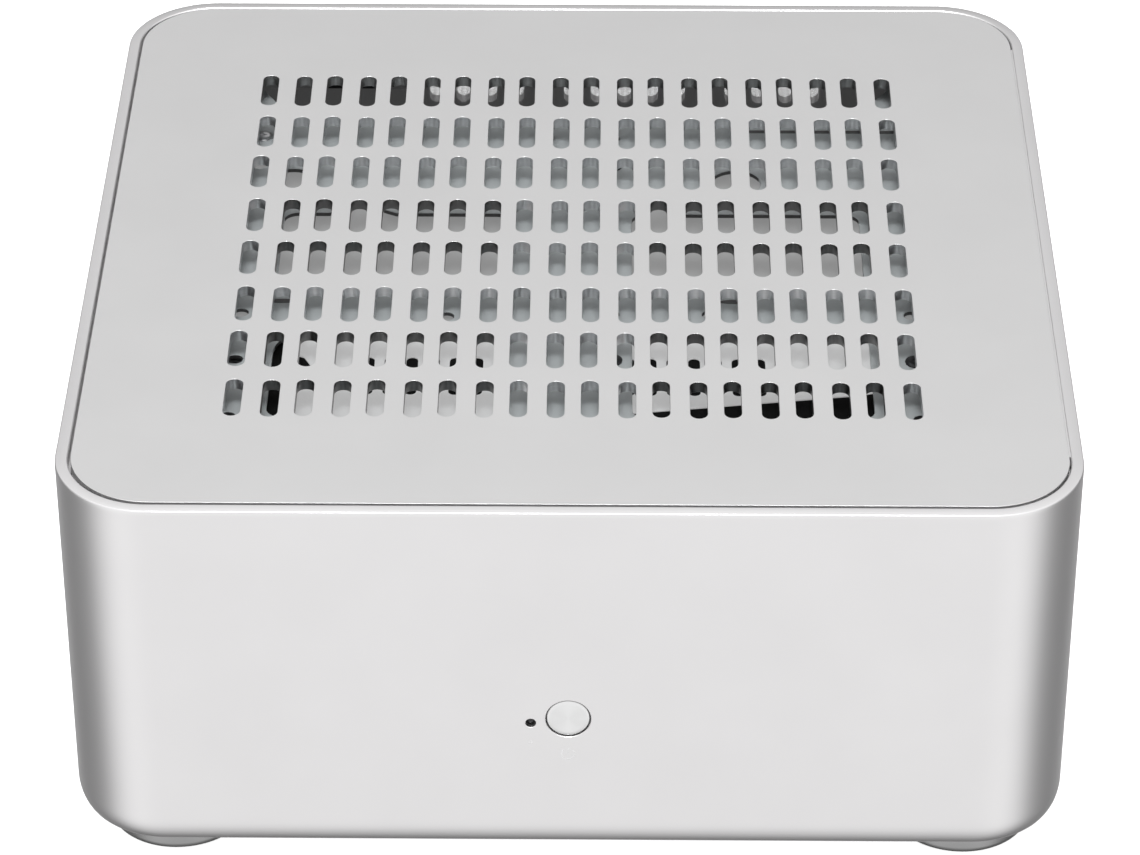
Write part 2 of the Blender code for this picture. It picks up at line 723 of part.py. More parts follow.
def make_board_parts():
    """Memory, chipset heatsink, battery and the power connector."""
    low = BOARD_TOP + GAP
    slot = box("memory_slot", (0.0565, 0.0635), (-0.0720, 0.0700), (low, low + 0.0090), black_plastic())
    groove = box("memory_groove", (0.0588, 0.0612), (-0.0680, 0.0660), (low + 0.0025, low + 0.0200), black_plastic())
    cut(slot, groove)
    module = (low + 0.0025 + GAP, low + 0.0025 + GAP + 0.0300)
    card = box("memory_module", (0.0594, 0.0606), (-0.06765, 0.06565), module, circuit_board())
    for i in range(8):
        y = -0.0587 + i * 0.0160 + (0.0025 if i > 3 else 0)
        chip = box(f"memory_chip_{i}", (0.0602, 0.0617), (y - 0.005, y + 0.005),
                   (module[0] + 0.012, module[0] + 0.023), black_plastic())
        fuse(card, chip)
    x, y, half, count = 0.0150, -0.0500, 0.0150, 6
    outline = [(x + half, low), (x + half, low + 0.009)]
    fin = 0.0014
    pitch = (2 * half - fin) / (count - 1)
    for i in range(count - 1):
        right = x + half - fin - i * pitch
        left = x + half - (i + 1) * pitch
        outline += [(right, low + 0.009), (right, low + 0.003), (left, low + 0.003), (left, low + 0.009)]
    outline += [(x - half, low + 0.009), (x - half, low)]
    plate("chipset_heatsink", [outline], y - half, y + half, tray_aluminium(), upright=True)
    rod("board_battery", (-0.030, -0.050, low), (-0.030, -0.050, low + 0.0036), 0.010, bright_steel(), sides=24)
    box("power_connector", (-0.0790, -0.0690), (-0.0560, -0.0044), (low, low + 0.0125), black_plastic(), 0.0005)


def make_power_board():
    """The DC converter, which stands in the power connector, and the inlet at the back with its lead."""
    bottom = BOARD_TOP + GAP + 0.0125 + GAP
    board = box("dc_power_board", (-0.0748, -0.0732), (-0.0560, -0.0044), (bottom, bottom + 0.0270), circuit_board())
    plug = box("power_plug", (-0.0788, -0.0692), (-0.0556, -0.0048), (bottom + 0.0001, bottom + 0.0050), black_plastic())
    fuse(board, plug)
    for i, (y, size, height) in enumerate(((-0.047, 0.010, 0.0055), (-0.032, 0.010, 0.0055), (-0.017, 0.008, 0.0040))):
        coil = box(f"power_coil_{i}", (-0.0736, -0.0732 + height), (y - size / 2, y + size / 2),
                   (bottom + 0.010, bottom + 0.010 + size), black_plastic())
        fuse(board, coil)
    header_z = bottom + 0.0200
    header = box("power_input", (-0.0770, -0.0710), (-0.0100, -0.0030), (header_z - 0.004, header_z + 0.004), black_plastic())
    fuse(board, header)
    x, z = DC_INLET
    inner = SIDE / 2 - WALL
    body = box("dc_jack", (x - 0.0065, x + 0.0065), (inner - GAP - 0.0120, inner - GAP), (z - 0.0050, z + 0.0050),
               black_plastic(), 0.0006)
    barrel = rod("dc_barrel", (x, inner - 0.003, z), (x, SIDE / 2 - 0.0003, z), 0.0036, black_plastic(), sides=20)
    fuse(body, barrel)
    cut(body, rod("dc_bore", (x, inner - 0.0090, z), (x, SIDE / 2 + 0.003, z), 0.00275, black_plastic(), sides=16))
    fuse(body, rod("dc_pin", (x, inner - 0.0095, z), (x, inner + 0.0015, z), 0.00105, bright_steel(), sides=10))
    lead = (
        (x, inner - 0.0126 - GAP, z), (x - 0.0005, inner - 0.020, z - 0.0005), (x - 0.008, 0.064, z - 0.006),
        (-0.0720, 0.048, header_z + 0.006), (-0.0745, 0.028, header_z + 0.001), (-0.0740, 0.010, header_z),
        (-0.0740, -0.0027, header_z),
    )
    wire("dc_lead", smooth_route(lead), 0.0016, black_rubber())


# ---- Drives -------------------------------------------------------------------------------

def make_drive(side_name, front):
    """A 2.5-inch drive under the tray, with its vented spreader between them."""
    x0 = DRIVE_X[side_name] - DRIVE_WIDTH / 2
    x1 = x0 + DRIVE_WIDTH
    box("drive_" + side_name, (x0, x1), (front, front + DRIVE_LENGTH), (DRIVE_TOP - DRIVE_HEIGHT, DRIVE_TOP),
        bright_steel(), 0.0008)


def make_heat_spreader(side_name, outline, group_x):
    top = TRAY_TOP - TRAY_THICKNESS - GAP
    outlines = [outline]
    for i in range(7):
        outlines.append(obround(group_x + (i - 3) * 0.00442, -0.0413, 0.0024, 0.0137))
    plate("heat_spreader_" + side_name, outlines, top - 0.0010, top, tray_aluminium())


def make_drives():
    make_drive("left", LEFT_DRIVE_BACK - DRIVE_LENGTH)
    make_drive("right", RIGHT_DRIVE_FRONT)
    notched = [(-0.0570, -0.0556), (-0.0500, -0.0572), (-0.0125, -0.0625), (-0.0105, -0.0605), (-0.0105, -0.0255),
               (-0.0125, -0.0235), (-0.0550, -0.0235), (-0.0570, -0.0255), (-0.0570, -0.0334), (-0.0544, -0.0347),
               (-0.0513, -0.0410), (-0.0516, -0.0425), (-0.0570, -0.0475)]
    slanted = [(0.0100, -0.0528), (0.0118, -0.0545), (0.0580, -0.0476), (0.0600, -0.0456), (0.0600, -0.0255),
               (0.0580, -0.0235), (0.0120, -0.0235), (0.0100, -0.0255)]
    make_heat_spreader("left", notched, -0.0279)
    make_heat_spreader("right", slanted, 0.0250)


def cable(name, route, radius, plugs):
    """A cable with a plug at each end, as one part."""
    tube = wire(name, smooth_route(route), radius, black_rubber())
    for i, (x, y, z) in enumerate(plugs):
        fuse(tube, box(f"{name}_plug_{i}", x, y, z, black_plastic()))
    return tube


def make_cables():
    low = BOARD_TOP + GAP
    drive_low = DRIVE_TOP - DRIVE_HEIGHT
    plug_z = (drive_low + 0.0008, drive_low + 0.0058)
    z = drive_low + 0.0033
    front = RIGHT_DRIVE_FRONT - GAP
    cable(
        "sata_cable_right",
        ((0.050, front - 0.012, z), (0.050, -0.074, z - 0.0025), (0.047, -0.081, 0.066), (0.043, -0.083, 0.052),
         (0.041, -0.079, 0.040), (0.040, -0.072, 0.033), (0.040, -0.068, 0.027)),
        0.0018,
        (((0.0362, 0.0707), (front - 0.014, front), plug_z), ((0.034, 0.046), (-0.0710, -0.0650), (low, low + 0.009))),
    )
    back = LEFT_DRIVE_BACK + GAP
    cable(
        "sata_cable_left",
        ((-0.038, back + 0.012, z), (-0.038, 0.0845, z - 0.0025), (-0.040, 0.0880, 0.067), (-0.046, 0.0835, 0.059),
         (-0.056, 0.074, 0.050), (-0.062, 0.064, 0.040), (-0.064, 0.058, 0.031), (-0.064, 0.055, 0.026)),
        0.0018,
        (((-0.0690, -0.0345), (back, back + 0.014), plug_z), ((-0.070, -0.058), (0.052, 0.058), (low, low + 0.009))),
    )
    cable(
        "front_panel_cable",
        ((-0.004, SWITCH_BOARD_Y + 0.0022, 0.0370), (-0.0045, -0.0830, 0.0362), (-0.0070, -0.0790, 0.0320),
         (-0.0095, -0.0745, 0.0285), (-0.0100, -0.0715, 0.0250)),
        0.0011,
        (((-0.0150, -0.0050), (-0.0740, -0.0690), (low, low + 0.0060)),),
    )
    x, y = FAN_CENTRE
    side = x + FAN_SIDE / 2 + GAP
    cable(
        "fan_cable",
        ((side + 0.0004, y - 0.030, FAN_BOTTOM + 0.004), (side + 0.0030, y - 0.031, FAN_BOTTOM + 0.002),
         (side + 0.0055, y - 0.034, 0.044), (side + 0.0050, y - 0.040, 0.034), (side + 0.0035, y - 0.046, 0.0255)),
        0.0011,
        (((side, side + 0.0070), (y - 0.0500, y - 0.0430), (low, low + 0.0070)),),
    )


# ---- Power button -------------------------------------------------------------------------

def make_front_controls():
    """Button, its spring, the switch board and the status light."""
    inner = -(SIDE / 2 - WALL)
    face = -(SIDE / 2) + 0.0002
    facing = (math.radians(90), 0, 0)      # turns a profile's +Z to -Y, out of the front
    profile = (
        (0, -face), (BUTTON_RADIUS, -face), (BUTTON_RADIUS, -inner - GAP), (0.0053, -inner - GAP),
        (0.0053, -inner - 0.0012), (0.0016, -inner - 0.0012), (0.0016, -inner - 0.0038), (0, -inner - 0.0038),
    )
    turned("power_button", profile, case_aluminium(), (0, 0, BUTTON_Z), facing, steps=28)
    start = inner + 0.0012 + GAP + 0.00025
    end = SWITCH_BOARD_Y - GAP - 0.00025
    turns, per_turn, radius = 4, 12, 0.0036
    count = turns * per_turn
    coil = []
    for i in range(count + 1):
        angle = 2 * math.pi * i / per_turn
        coil.append((radius * math.cos(angle), start + (end - start) * i / count,
                     BUTTON_Z + radius * math.sin(angle)))
    wire("button_spring", coil, 0.00025, bright_steel(), sides=0)
    board = box("switch_board", (-0.0120, 0.0100), (SWITCH_BOARD_Y, SWITCH_BOARD_Y + 0.0016),
                (BUTTON_Z - 0.0070, BUTTON_Z + 0.0070), circuit_board())
    tact = box("tact_switch", (-0.0022, 0.0022), (SWITCH_BOARD_Y - 0.0025, SWITCH_BOARD_Y + 0.0004),
               (BUTTON_Z - 0.0022, BUTTON_Z + 0.0022), black_plastic())
    plunger = rod("tact_plunger", (0, SWITCH_BOARD_Y - 0.0036, BUTTON_Z), (0, SWITCH_BOARD_Y - 0.0015, BUTTON_Z),
                  0.0014, black_plastic())
    fuse(board, tact, plunger)
    tall = SIDE / 2
    light = (
        (0, tall - 0.0006), (0.0005, tall - 0.0008), (0.00075, tall - 0.0012), (0.00075, -inner - GAP),
        (0.0014, -inner - GAP), (0.0014, -SWITCH_BOARD_Y + GAP), (0, -SWITCH_BOARD_Y + GAP),
    )
    turned("status_light", light, material("clear_lens", (0.75, 0.8, 0.85), 0.2), (LIGHT[0], 0, LIGHT[1]), facing, steps=12)


def gather():
    """Parents each moving part to an empty on its joint's axis, and the rest to the case's empty."""
    moving = {
        "cover_slide": ((0, 0, COVER_TOP - COVER_THICKNESS), "top_cover"),
        "fan_axis": ((*FAN_CENTRE, FAN_BOTTOM), "fan_rotor"),
        "button_axis": ((0, -SIDE / 2, BUTTON_Z), "power_button"),
    }
    case = bpy.data.objects.new("case", None)
    parts.objects.link(case)
    for name, (place, part_name) in moving.items():
        empty = bpy.data.objects.new(name, None)
        parts.objects.link(empty)
        empty.location = place
        empty.parent = case
        obj = parts.objects[part_name]
        obj.parent = empty
        obj.matrix_parent_inverse = Matrix.Translation(place).inverted()
    for obj in parts.objects:
        if obj.parent is None and obj != case:
            obj.parent = case


def main():
    new_scene()
    make_shell()
    make_base_plate()
    make_top_cover()
    make_drive_tray()
    make_feet()
    make_case_screws()
    make_motherboard()
    make_io_shield()
    make_rear_ports()
    make_processor()
    make_fan()
    make_board_parts()
    make_power_board()
    make_drives()
    make_cables()
    make_front_controls()
    gather()


main()
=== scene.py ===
"""Looks for the small aluminium desktop computer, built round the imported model.

Shapes are made in millimetres, in the model's own frame, and scaled to metres when they become objects.
"""

import math
import random

import bmesh
import bpy
from mathutils import Matrix, Vector


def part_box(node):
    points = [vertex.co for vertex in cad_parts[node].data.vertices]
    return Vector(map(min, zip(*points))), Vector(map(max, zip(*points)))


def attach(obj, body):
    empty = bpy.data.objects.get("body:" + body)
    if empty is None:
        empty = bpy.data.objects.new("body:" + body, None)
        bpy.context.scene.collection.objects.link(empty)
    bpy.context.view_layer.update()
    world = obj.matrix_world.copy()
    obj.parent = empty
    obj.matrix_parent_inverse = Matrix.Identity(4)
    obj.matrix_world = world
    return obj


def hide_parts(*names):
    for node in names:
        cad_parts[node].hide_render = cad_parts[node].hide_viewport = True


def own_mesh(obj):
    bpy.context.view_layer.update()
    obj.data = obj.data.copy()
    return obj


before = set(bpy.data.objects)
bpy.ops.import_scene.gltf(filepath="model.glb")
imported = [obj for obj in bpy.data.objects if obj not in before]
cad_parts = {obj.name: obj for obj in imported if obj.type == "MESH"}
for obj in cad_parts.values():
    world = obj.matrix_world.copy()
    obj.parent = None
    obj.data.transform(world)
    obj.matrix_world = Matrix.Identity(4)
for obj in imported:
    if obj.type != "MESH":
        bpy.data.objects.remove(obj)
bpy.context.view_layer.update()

MM = 0.001
random.seed(7)


# ---- Measures ------------------------------------------------------------------------------

def span(node):
    """The low and high corner of a node's box, in millimetres."""
    low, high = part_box(node)
    return low / MM, high / MM


SHELL_LOW, SHELL_HIGH = span("shell")
COVER_LOW, COVER_HIGH = span("top_cover")
FLOOR_LOW, FLOOR_HIGH = span("base_plate")
TRAY_LOW, TRAY_HIGH = span("drive_tray")
BOARD_LOW, BOARD_HIGH = span("motherboard")
SHIELD_LOW, SHIELD_HIGH = span("io_shield")
BUTTON_LOW, BUTTON_HIGH = span("power_button")
LIGHT_LOW, LIGHT_HIGH = span("status_light")
JACK_LOW, JACK_HIGH = span("dc_jack")
FAN_LOW, FAN_HIGH = span("fan_frame")

HALF = SHELL_HIGH.x
CORNER_RADIUS = 19
WALL = 3
RIM_WALL = 2.5                  # what is left of the wall round the cover, above a shallow ledge
LEDGE = COVER_LOW.z - 0.3
INNER = HALF - WALL
BOTTOM_CURVE = (2.64, 5.5)      # how far the wall's foot curves in, and how high that starts
RIM = 0.35                      # bright chamfer round the top edge

SLOT_ROWS = 8
SLOT_COLUMNS = 20
SLOT_PITCH = (7.072, 17.235)
SLOT_SIZE = (3.5, 13)
SLOT_GRID_CENTRE = (0.39, -0.32)
COLUMN_STAGGER = (0.17, -0.13)  # the slots are punched in staggered passes
ROW_STAGGER = (0.17, -0.23)

BUTTON_Z = (BUTTON_LOW.z + BUTTON_HIGH.z) / 2
BUTTON_RADIUS = 4.25
LIGHT_X = (LIGHT_LOW.x + LIGHT_HIGH.x) / 2
LIGHT_Z = (LIGHT_LOW.z + LIGHT_HIGH.z) / 2
INLET_X = (JACK_LOW.x + JACK_HIGH.x) / 2
INLET_Z = (JACK_LOW.z + JACK_HIGH.z) / 2
FAN_X = (FAN_LOW.x + FAN_HIGH.x) / 2
FAN_Y = (FAN_LOW.y + FAN_HIGH.y) / 2

BOSS = 90                       # screw bosses, and the screws and studs in them, in the corners
BOARD_TOP = BOARD_HIGH.z
BOARD_HOLE_X = 78.74
BOARD_HOLES_Y = (BOARD_HIGH.y - 10.16, BOARD_HIGH.y - 165.1)

CORNERS = (
    ("front_left", -1, -1),
    ("front_right", 1, -1),
    ("back_left", -1, 1),
    ("back_right", 1, 1),
)


# ---- Outlines ------------------------------------------------------------------------------

def arc(cx, cy, radius, start, end, steps):
    """Points from angle start to angle end, in degrees."""
    points = []
    for i in range(steps + 1):
        angle = math.radians(start + (end - start) * i / steps)
        points.append((cx + radius * math.cos(angle), cy + radius * math.sin(angle)))
    return points


def circle(cx, cy, radius, sides=32):
    return arc(cx, cy, radius, 0, 360 * (sides - 1) / sides, sides - 1)


def rectangle(x0, x1, y0, y1, radius=0.0, steps=6):
    """A rectangle, with rounded corners where a radius is given."""
    if radius <= 0:
        return [(x0, y0), (x1, y0), (x1, y1), (x0, y1)]
    return (
        arc(x1 - radius, y0 + radius, radius, -90, 0, steps)
        + arc(x1 - radius, y1 - radius, radius, 0, 90, steps)
        + arc(x0 + radius, y1 - radius, radius, 90, 180, steps)
        + arc(x0 + radius, y0 + radius, radius, 180, 270, steps)
    )


def square(half, radius, steps=24):
    return rectangle(-half, half, -half, half, radius, steps)


def obround(cx, cy, width, length, steps=10):
    """A slot with round ends that runs along Y."""
    radius = width / 2
    reach = length / 2 - radius
    return arc(cx, cy + reach, radius, 0, 180, steps) + arc(cx, cy - reach, radius, 180, 360, steps)


# ---- Building blocks -----------------------------------------------------------------------

def object_of(name, shape, keep_scale=False):
    """A linked object holding the bmesh, which is freed."""
    if not keep_scale:
        shape.transform(Matrix.Scale(MM, 4))
    mesh = bpy.data.meshes.new(name)
    shape.to_mesh(mesh)
    shape.free()
    obj = bpy.data.objects.new(name, mesh)
    bpy.context.scene.collection.objects.link(obj)
    return obj


def finish_piece(obj, surfaces, body="case", nodes=(), smooth=30):
    """Gives a piece its materials, its shading and its body, and hides the CAD nodes that it stands for."""
    mesh = obj.data
    indices = [polygon.material_index for polygon in mesh.polygons]
    mesh.materials.clear()
    for surface in surfaces if isinstance(surfaces, (list, tuple)) else [surfaces]:
        mesh.materials.append(surface)
    mesh.polygons.foreach_set("material_index", indices)
    mesh.shade_smooth()
    mesh.set_sharp_from_angle(angle=math.radians(smooth))
    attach(obj, body)
    if nodes:
        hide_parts(*nodes)
    return obj


def evaluated_mesh(obj):
    """A new mesh as the object's modifiers leave it."""
    bpy.context.view_layer.update()
    graph = bpy.context.evaluated_depsgraph_get()
    return bpy.data.meshes.new_from_object(obj.evaluated_get(graph))


def plate_shape(outlines, low, high, chamfer=0.0, upright=False):
    """A bmesh plate with holes and chamfered edges. An upright one stands between two values of Y."""
    curve = bpy.data.curves.new("outline", "CURVE")
    curve.dimensions = "2D"
    curve.fill_mode = "BOTH"
    curve.extrude = (high - low) / 2 - chamfer
    curve.bevel_depth = chamfer
    curve.bevel_resolution = 0
    curve.offset = -chamfer
    for outline in outlines:
        spline = curve.splines.new("POLY")
        spline.points.add(len(outline) - 1)
        for point, (x, y) in zip(spline.points, outline):
            point.co = (x, y, 0, 1)
        spline.use_cyclic_u = True
    source = bpy.data.objects.new("outline", curve)
    bpy.context.scene.collection.objects.link(source)
    mesh = evaluated_mesh(source)
    bpy.data.objects.remove(source)
    bpy.data.curves.remove(curve)
    shape = bmesh.new()
    shape.from_mesh(mesh)
    bpy.data.meshes.remove(mesh)
    bmesh.ops.remove_doubles(shape, verts=shape.verts, dist=0.0005)
    bmesh.ops.dissolve_limit(
        shape, angle_limit=math.radians(0.2), verts=shape.verts, edges=shape.edges, delimit={"NORMAL"}
    )
    bmesh.ops.triangulate(shape, faces=[face for face in shape.faces if len(face.verts) > 4])
    bmesh.ops.recalc_face_normals(shape, faces=shape.faces)
    middle = (low + high) / 2
    if upright:
        shape.transform(Matrix.Translation((0, middle, 0)) @ Matrix.Rotation(math.pi / 2, 4, "X"))
    else:
        shape.transform(Matrix.Translation((0, 0, middle)))
    return shape


def plate(name, outlines, low, high, chamfer=0.0, upright=False):
    return object_of(name, plate_shape(outlines, low, high, chamfer, upright))


AXES = {
    "Z": Matrix.Identity(4),
    "-Z": Matrix.Rotation(math.pi, 4, "X"),
    "Y": Matrix.Rotation(-math.pi / 2, 4, "X"),
    "-Y": Matrix.Rotation(math.pi / 2, 4, "X"),
    "X": Matrix.Rotation(math.pi / 2, 4, "Y"),
    "-X": Matrix.Rotation(-math.pi / 2, 4, "Y"),
}


def add_turned(shape, profile, place=(0, 0, 0), axis="Z", sides=32, index=0):
    """Adds a turned form from (radius, height) points, from one end of its axis to the other."""
    turn = Matrix.Translation(place) @ AXES[axis]
    rings = []
    for radius, height in profile:
        count = sides if radius > 0 else 1
        ring = []
        for i in range(count):
            angle = 2 * math.pi * i / sides
            point = Vector((radius * math.cos(angle), radius * math.sin(angle), height))
            ring.append(shape.verts.new(turn @ point))
        rings.append(ring)
    if len(rings[0]) > 1:
        rings.append(rings[0])
    faces = []
    for upper, lower in zip(rings, rings[1:]):
        for i in range(sides):
            j = (i + 1) % sides
            corners = [upper[i % len(upper)], lower[i % len(lower)], lower[j % len(lower)], upper[j % len(upper)]]
            unique = list(dict.fromkeys(corners))
            if len(unique) > 2:
                faces.append(shape.faces.new(unique))
    bmesh.ops.recalc_face_normals(shape, faces=faces)
    for face in faces:
        face.material_index = index


def add_cylinder(shape, place, radius, height, bevel=0.0, axis="Z", sides=24, index=0):
    """Adds a cylinder that grows along the axis from the middle of its base."""
    profile = [(0, 0), (radius - bevel, 0), (radius, bevel), (radius, height - bevel), (radius - bevel, height),
               (0, height)]
    if not bevel:
        profile = [(0, 0), (radius, 0), (radius, height), (0, height)]
    add_turned(shape, profile, place, axis, sides, index)


def add_box(shape, x, y, z, bevel=0.0, index=0, segments=1):
    """Adds a box between the two values of each axis, with bevelled edges."""
    made = bmesh.ops.create_cube(shape, size=1.0)["verts"]
    bmesh.ops.scale(shape, vec=(x[1] - x[0], y[1] - y[0], z[1] - z[0]), verts=made)
    bmesh.ops.translate(
        shape, vec=((x[0] + x[1]) / 2, (y[0] + y[1]) / 2, (z[0] + z[1]) / 2), verts=made
    )
    faces = {face for vert in made for face in vert.link_faces}
    if bevel:
        edges = {edge for vert in made for edge in vert.link_edges}
        result = bmesh.ops.bevel(
            shape, geom=list(edges), offset=bevel, segments=segments, affect="EDGES", profile=0.5
        )
        faces = {face for vert in result["verts"] for face in vert.link_faces}
    for face in faces:
        face.material_index = index


def add_shape(shape, other, index=0):
    """Adds all of another bmesh, which is freed."""
    for face in other.faces:
        face.material_index = index
    mesh = bpy.data.meshes.new("part")
    other.to_mesh(mesh)
    other.free()
    shape.from_mesh(mesh)
    bpy.data.meshes.remove(mesh)


def cut(obj, cutter_shape, solver="EXACT"):
    """Cuts a bmesh of closed cutters out of the object for good."""
    cutter = object_of("cutter", cutter_shape)
    step = obj.modifiers.new("cut", "BOOLEAN")
    step.operation = "DIFFERENCE"
    step.solver = solver
    step.object = cutter
    mesh = evaluated_mesh(obj)
    obj.modifiers.clear()
    old = obj.data
    obj.data = mesh
    bpy.data.meshes.remove(old)
    bpy.data.objects.remove(cutter)


# ---- Materials -----------------------------------------------------------------------------

def shader_of(name):
    made = bpy.data.materials.new(name)
    made.use_nodes = True
    tree = made.node_tree
    return made, tree, tree.nodes["Principled BSDF"]


def noise(tree, scale, detail=4.0, stretch=(1, 1, 1), roughness=0.5):
    """Noise over the object's own coordinates, in metres."""
    place = tree.nodes.new("ShaderNodeTexCoord")
    mapping = tree.nodes.new("ShaderNodeMapping")
    mapping.inputs["Scale"].default_value = stretch
    texture = tree.nodes.new("ShaderNodeTexNoise")
    texture.inputs["Scale"].default_value = scale
    texture.inputs["Detail"].default_value = detail
    texture.inputs["Roughness"].default_value = roughness
    tree.links.new(place.outputs["Object"], mapping.inputs["Vector"])
    tree.links.new(mapping.outputs["Vector"], texture.inputs["Vector"])
    return texture.outputs["Fac"]


def ramp(tree, value, stops):
    """A colour ramp: stops are (position, colour) pairs."""
    node = tree.nodes.new("ShaderNodeValToRGB")
    elements = node.color_ramp.elements
    while len(elements) < len(stops):
        elements.new(0.5)
    for element, (position, colour) in zip(elements, stops):
        element.position = position
        element.color = (*colour, 1.0)
    tree.links.new(value, node.inputs["Fac"])
    return node.outputs["Color"]


def spread(tree, value, low, high):
    """Maps a 0 to 1 value on to the range low to high."""
    node = tree.nodes.new("ShaderNodeMapRange")
    node.inputs["To Min"].default_value = low
    node.inputs["To Max"].default_value = high
    tree.links.new(value, node.inputs["Value"])
    return node.outputs["Result"]


def bump(tree, shader, height, strength, distance):
    node = tree.nodes.new("ShaderNodeBump")
    node.inputs["Strength"].default_value = strength
    node.inputs["Distance"].default_value = distance
    tree.links.new(height, node.inputs["Height"])
    tree.links.new(node.outputs["Normal"], shader.inputs["Normal"])


def around(tone, share):
    """The tone made darker and lighter by a share of itself."""
    return tuple(c * (1 - share) for c in tone), tuple(min(1.0, c * (1 + share)) for c in tone)


def blasted_aluminium(name, tone, roughness, grain=0.35):
    """Bead-blasted, clear anodised aluminium: an even matt metal with a very fine grain."""
    made, tree, shader = shader_of(name)
    shader.inputs["Metallic"].default_value = 1.0
    fine = noise(tree, 7000, 2.0)
    broad = noise(tree, 45, 3.0)
    low, high = around(tone, 0.012)
    tree.links.new(ramp(tree, broad, [(0.3, low), (0.7, high)]), shader.inputs["Base Color"])
    tree.links.new(spread(tree, fine, roughness - 0.06, roughness + 0.06), shader.inputs["Roughness"])
    bump(tree, shader, fine, grain, 0.00001)
    return made


def moulded(name, tone, roughness, metallic=0.0, scale=1500, grain=0.2, distance=0.00002, variation=0.06):
    """Moulded, cast or pressed material with a fine surface texture and slight colour variation."""
    made, tree, shader = shader_of(name)
    shader.inputs["Metallic"].default_value = metallic
    fine = noise(tree, scale, 3.0)
    broad = noise(tree, 60, 2.0)
    low, high = around(tone, variation)
    tree.links.new(ramp(tree, broad, [(0.3, low), (0.7, high)]), shader.inputs["Base Color"])
    tree.links.new(spread(tree, fine, roughness - 0.06, roughness + 0.06), shader.inputs["Roughness"])
    bump(tree, shader, fine, grain, distance)
    return made


def brushed(name, tone, roughness, along="X", grain=0.25):
    """Metal with fine lines along one axis."""
    made, tree, shader = shader_of(name)
    shader.inputs["Metallic"].default_value = 1.0
    stretch = {"X": (20, 1800, 1800), "Y": (1800, 20, 1800), "Z": (1800, 1800, 20)}[along]
    lines = noise(tree, 1.0, 4.0, stretch, 0.6)
    low, high = around(tone, 0.04)
    tree.links.new(ramp(tree, lines, [(0.35, low), (0.65, high)]), shader.inputs["Base Color"])
    tree.links.new(spread(tree, lines, roughness - 0.06, roughness + 0.06), shader.inputs["Roughness"])
    bump(tree, shader, lines, grain, 0.00001)
    return made


def spun(name, tone, roughness):
    """Metal with fine rings about the Y axis, which stretch its highlights into a bow tie."""
    made, tree, shader = shader_of(name)
    shader.inputs["Metallic"].default_value = 1.0
    shader.inputs["Roughness"].default_value = roughness
    shader.inputs["Anisotropic"].default_value = 0.85
    tangent = tree.nodes.new("ShaderNodeTangent")
    tangent.direction_type = "RADIAL"
    tangent.axis = "Y"
    tree.links.new(tangent.outputs["Tangent"], shader.inputs["Tangent"])
    place = tree.nodes.new("ShaderNodeTexCoord")
    centre = tree.nodes.new("ShaderNodeMapping")
    centre.inputs["Location"].default_value = (0, 0, -BUTTON_Z * MM)
    rings = tree.nodes.new("ShaderNodeTexWave")
    rings.wave_type = "RINGS"
    rings.rings_direction = "Y"
    rings.inputs["Scale"].default_value = 1500
    rings.inputs["Distortion"].default_value = 0.6
    tree.links.new(place.outputs["Object"], centre.inputs["Vector"])
    tree.links.new(centre.outputs["Vector"], rings.inputs["Vector"])
    low, high = around(tone, 0.03)
    tree.links.new(ramp(tree, rings.outputs["Fac"], [(0, low), (1, high)]), shader.inputs["Base Color"])
    bump(tree, shader, rings.outputs["Fac"], 0.2, 0.000004)
    return made


def circuit_board(name, tone, trace):
    """Solder mask over fine copper tracks, with plated holes here and there."""
    made, tree, shader = shader_of(name)
    place = tree.nodes.new("ShaderNodeTexCoord")
    tracks = tree.nodes.new("ShaderNodeTexVoronoi")
    tracks.feature = "DISTANCE_TO_EDGE"
    tracks.inputs["Scale"].default_value = 260
    tracks.inputs["Randomness"].default_value = 0.35
    holes = tree.nodes.new("ShaderNodeTexVoronoi")
    holes.inputs["Scale"].default_value = 330
    for texture in (tracks, holes):
        tree.links.new(place.outputs["Object"], texture.inputs["Vector"])
    lines = ramp(tree, tracks.outputs["Distance"], [(0.0, trace), (0.05, trace), (0.08, tone), (1.0, tone)])
    dots = ramp(tree, holes.outputs["Distance"], [(0.0, (1, 1, 1)), (0.09, (1, 1, 1)), (0.11, (0, 0, 0)), (1, (0, 0, 0))])
    mix = tree.nodes.new("ShaderNodeMix")
    mix.data_type = "RGBA"
    tree.links.new(dots, mix.inputs["Factor"])
    tree.links.new(lines, mix.inputs["A"])
    mix.inputs["B"].default_value = (0.55, 0.42, 0.16, 1)
    tree.links.new(mix.outputs["Result"], shader.inputs["Base Color"])
    shader.inputs["Roughness"].default_value = 0.38
    bump(tree, shader, tracks.outputs["Distance"], 0.3, 0.00002)
    return made


CASE = blasted_aluminium("case_aluminium", (0.865, 0.855, 0.859), 0.40)
# a darker copy of the case's metal for its inside: painted shade
CASE_INSIDE_SHADED = moulded("case_inside_painted_shade", (0.42, 0.42, 0.43), 0.6, 0.3, 3000, 0.2)
COVER = blasted_aluminium("cover_aluminium", (0.862, 0.858, 0.858), 0.40)
# slot walls: one lit copy and two darker copies that are painted shade
SLOT_WALL = brushed("slot_wall", (0.78, 0.78, 0.79), 0.3, "X", 0.1)
SLOT_WALL_SHADED = brushed("slot_wall_painted_shade", (0.21, 0.21, 0.21), 0.35, "X", 0.1)
SLOT_WALL_BACK_SHADED = brushed("slot_wall_back_painted_shade", (0.42, 0.42, 0.42), 0.35, "X", 0.1)
FLOOR_METAL = blasted_aluminium("floor_aluminium", (0.80, 0.80, 0.81), 0.45)
# a darker copy of the aluminium for the feet: painted shade under the case
FOOT_METAL_SHADED = blasted_aluminium("foot_aluminium_painted_shade", (0.42, 0.42, 0.42), 0.36)
BUTTON_METAL = spun("button_aluminium", (0.88, 0.88, 0.88), 0.3)
TRAY = moulded("tray_aluminium", (0.53, 0.555, 0.56), 0.55, 0.15, 2500, 0.1, variation=0.03)
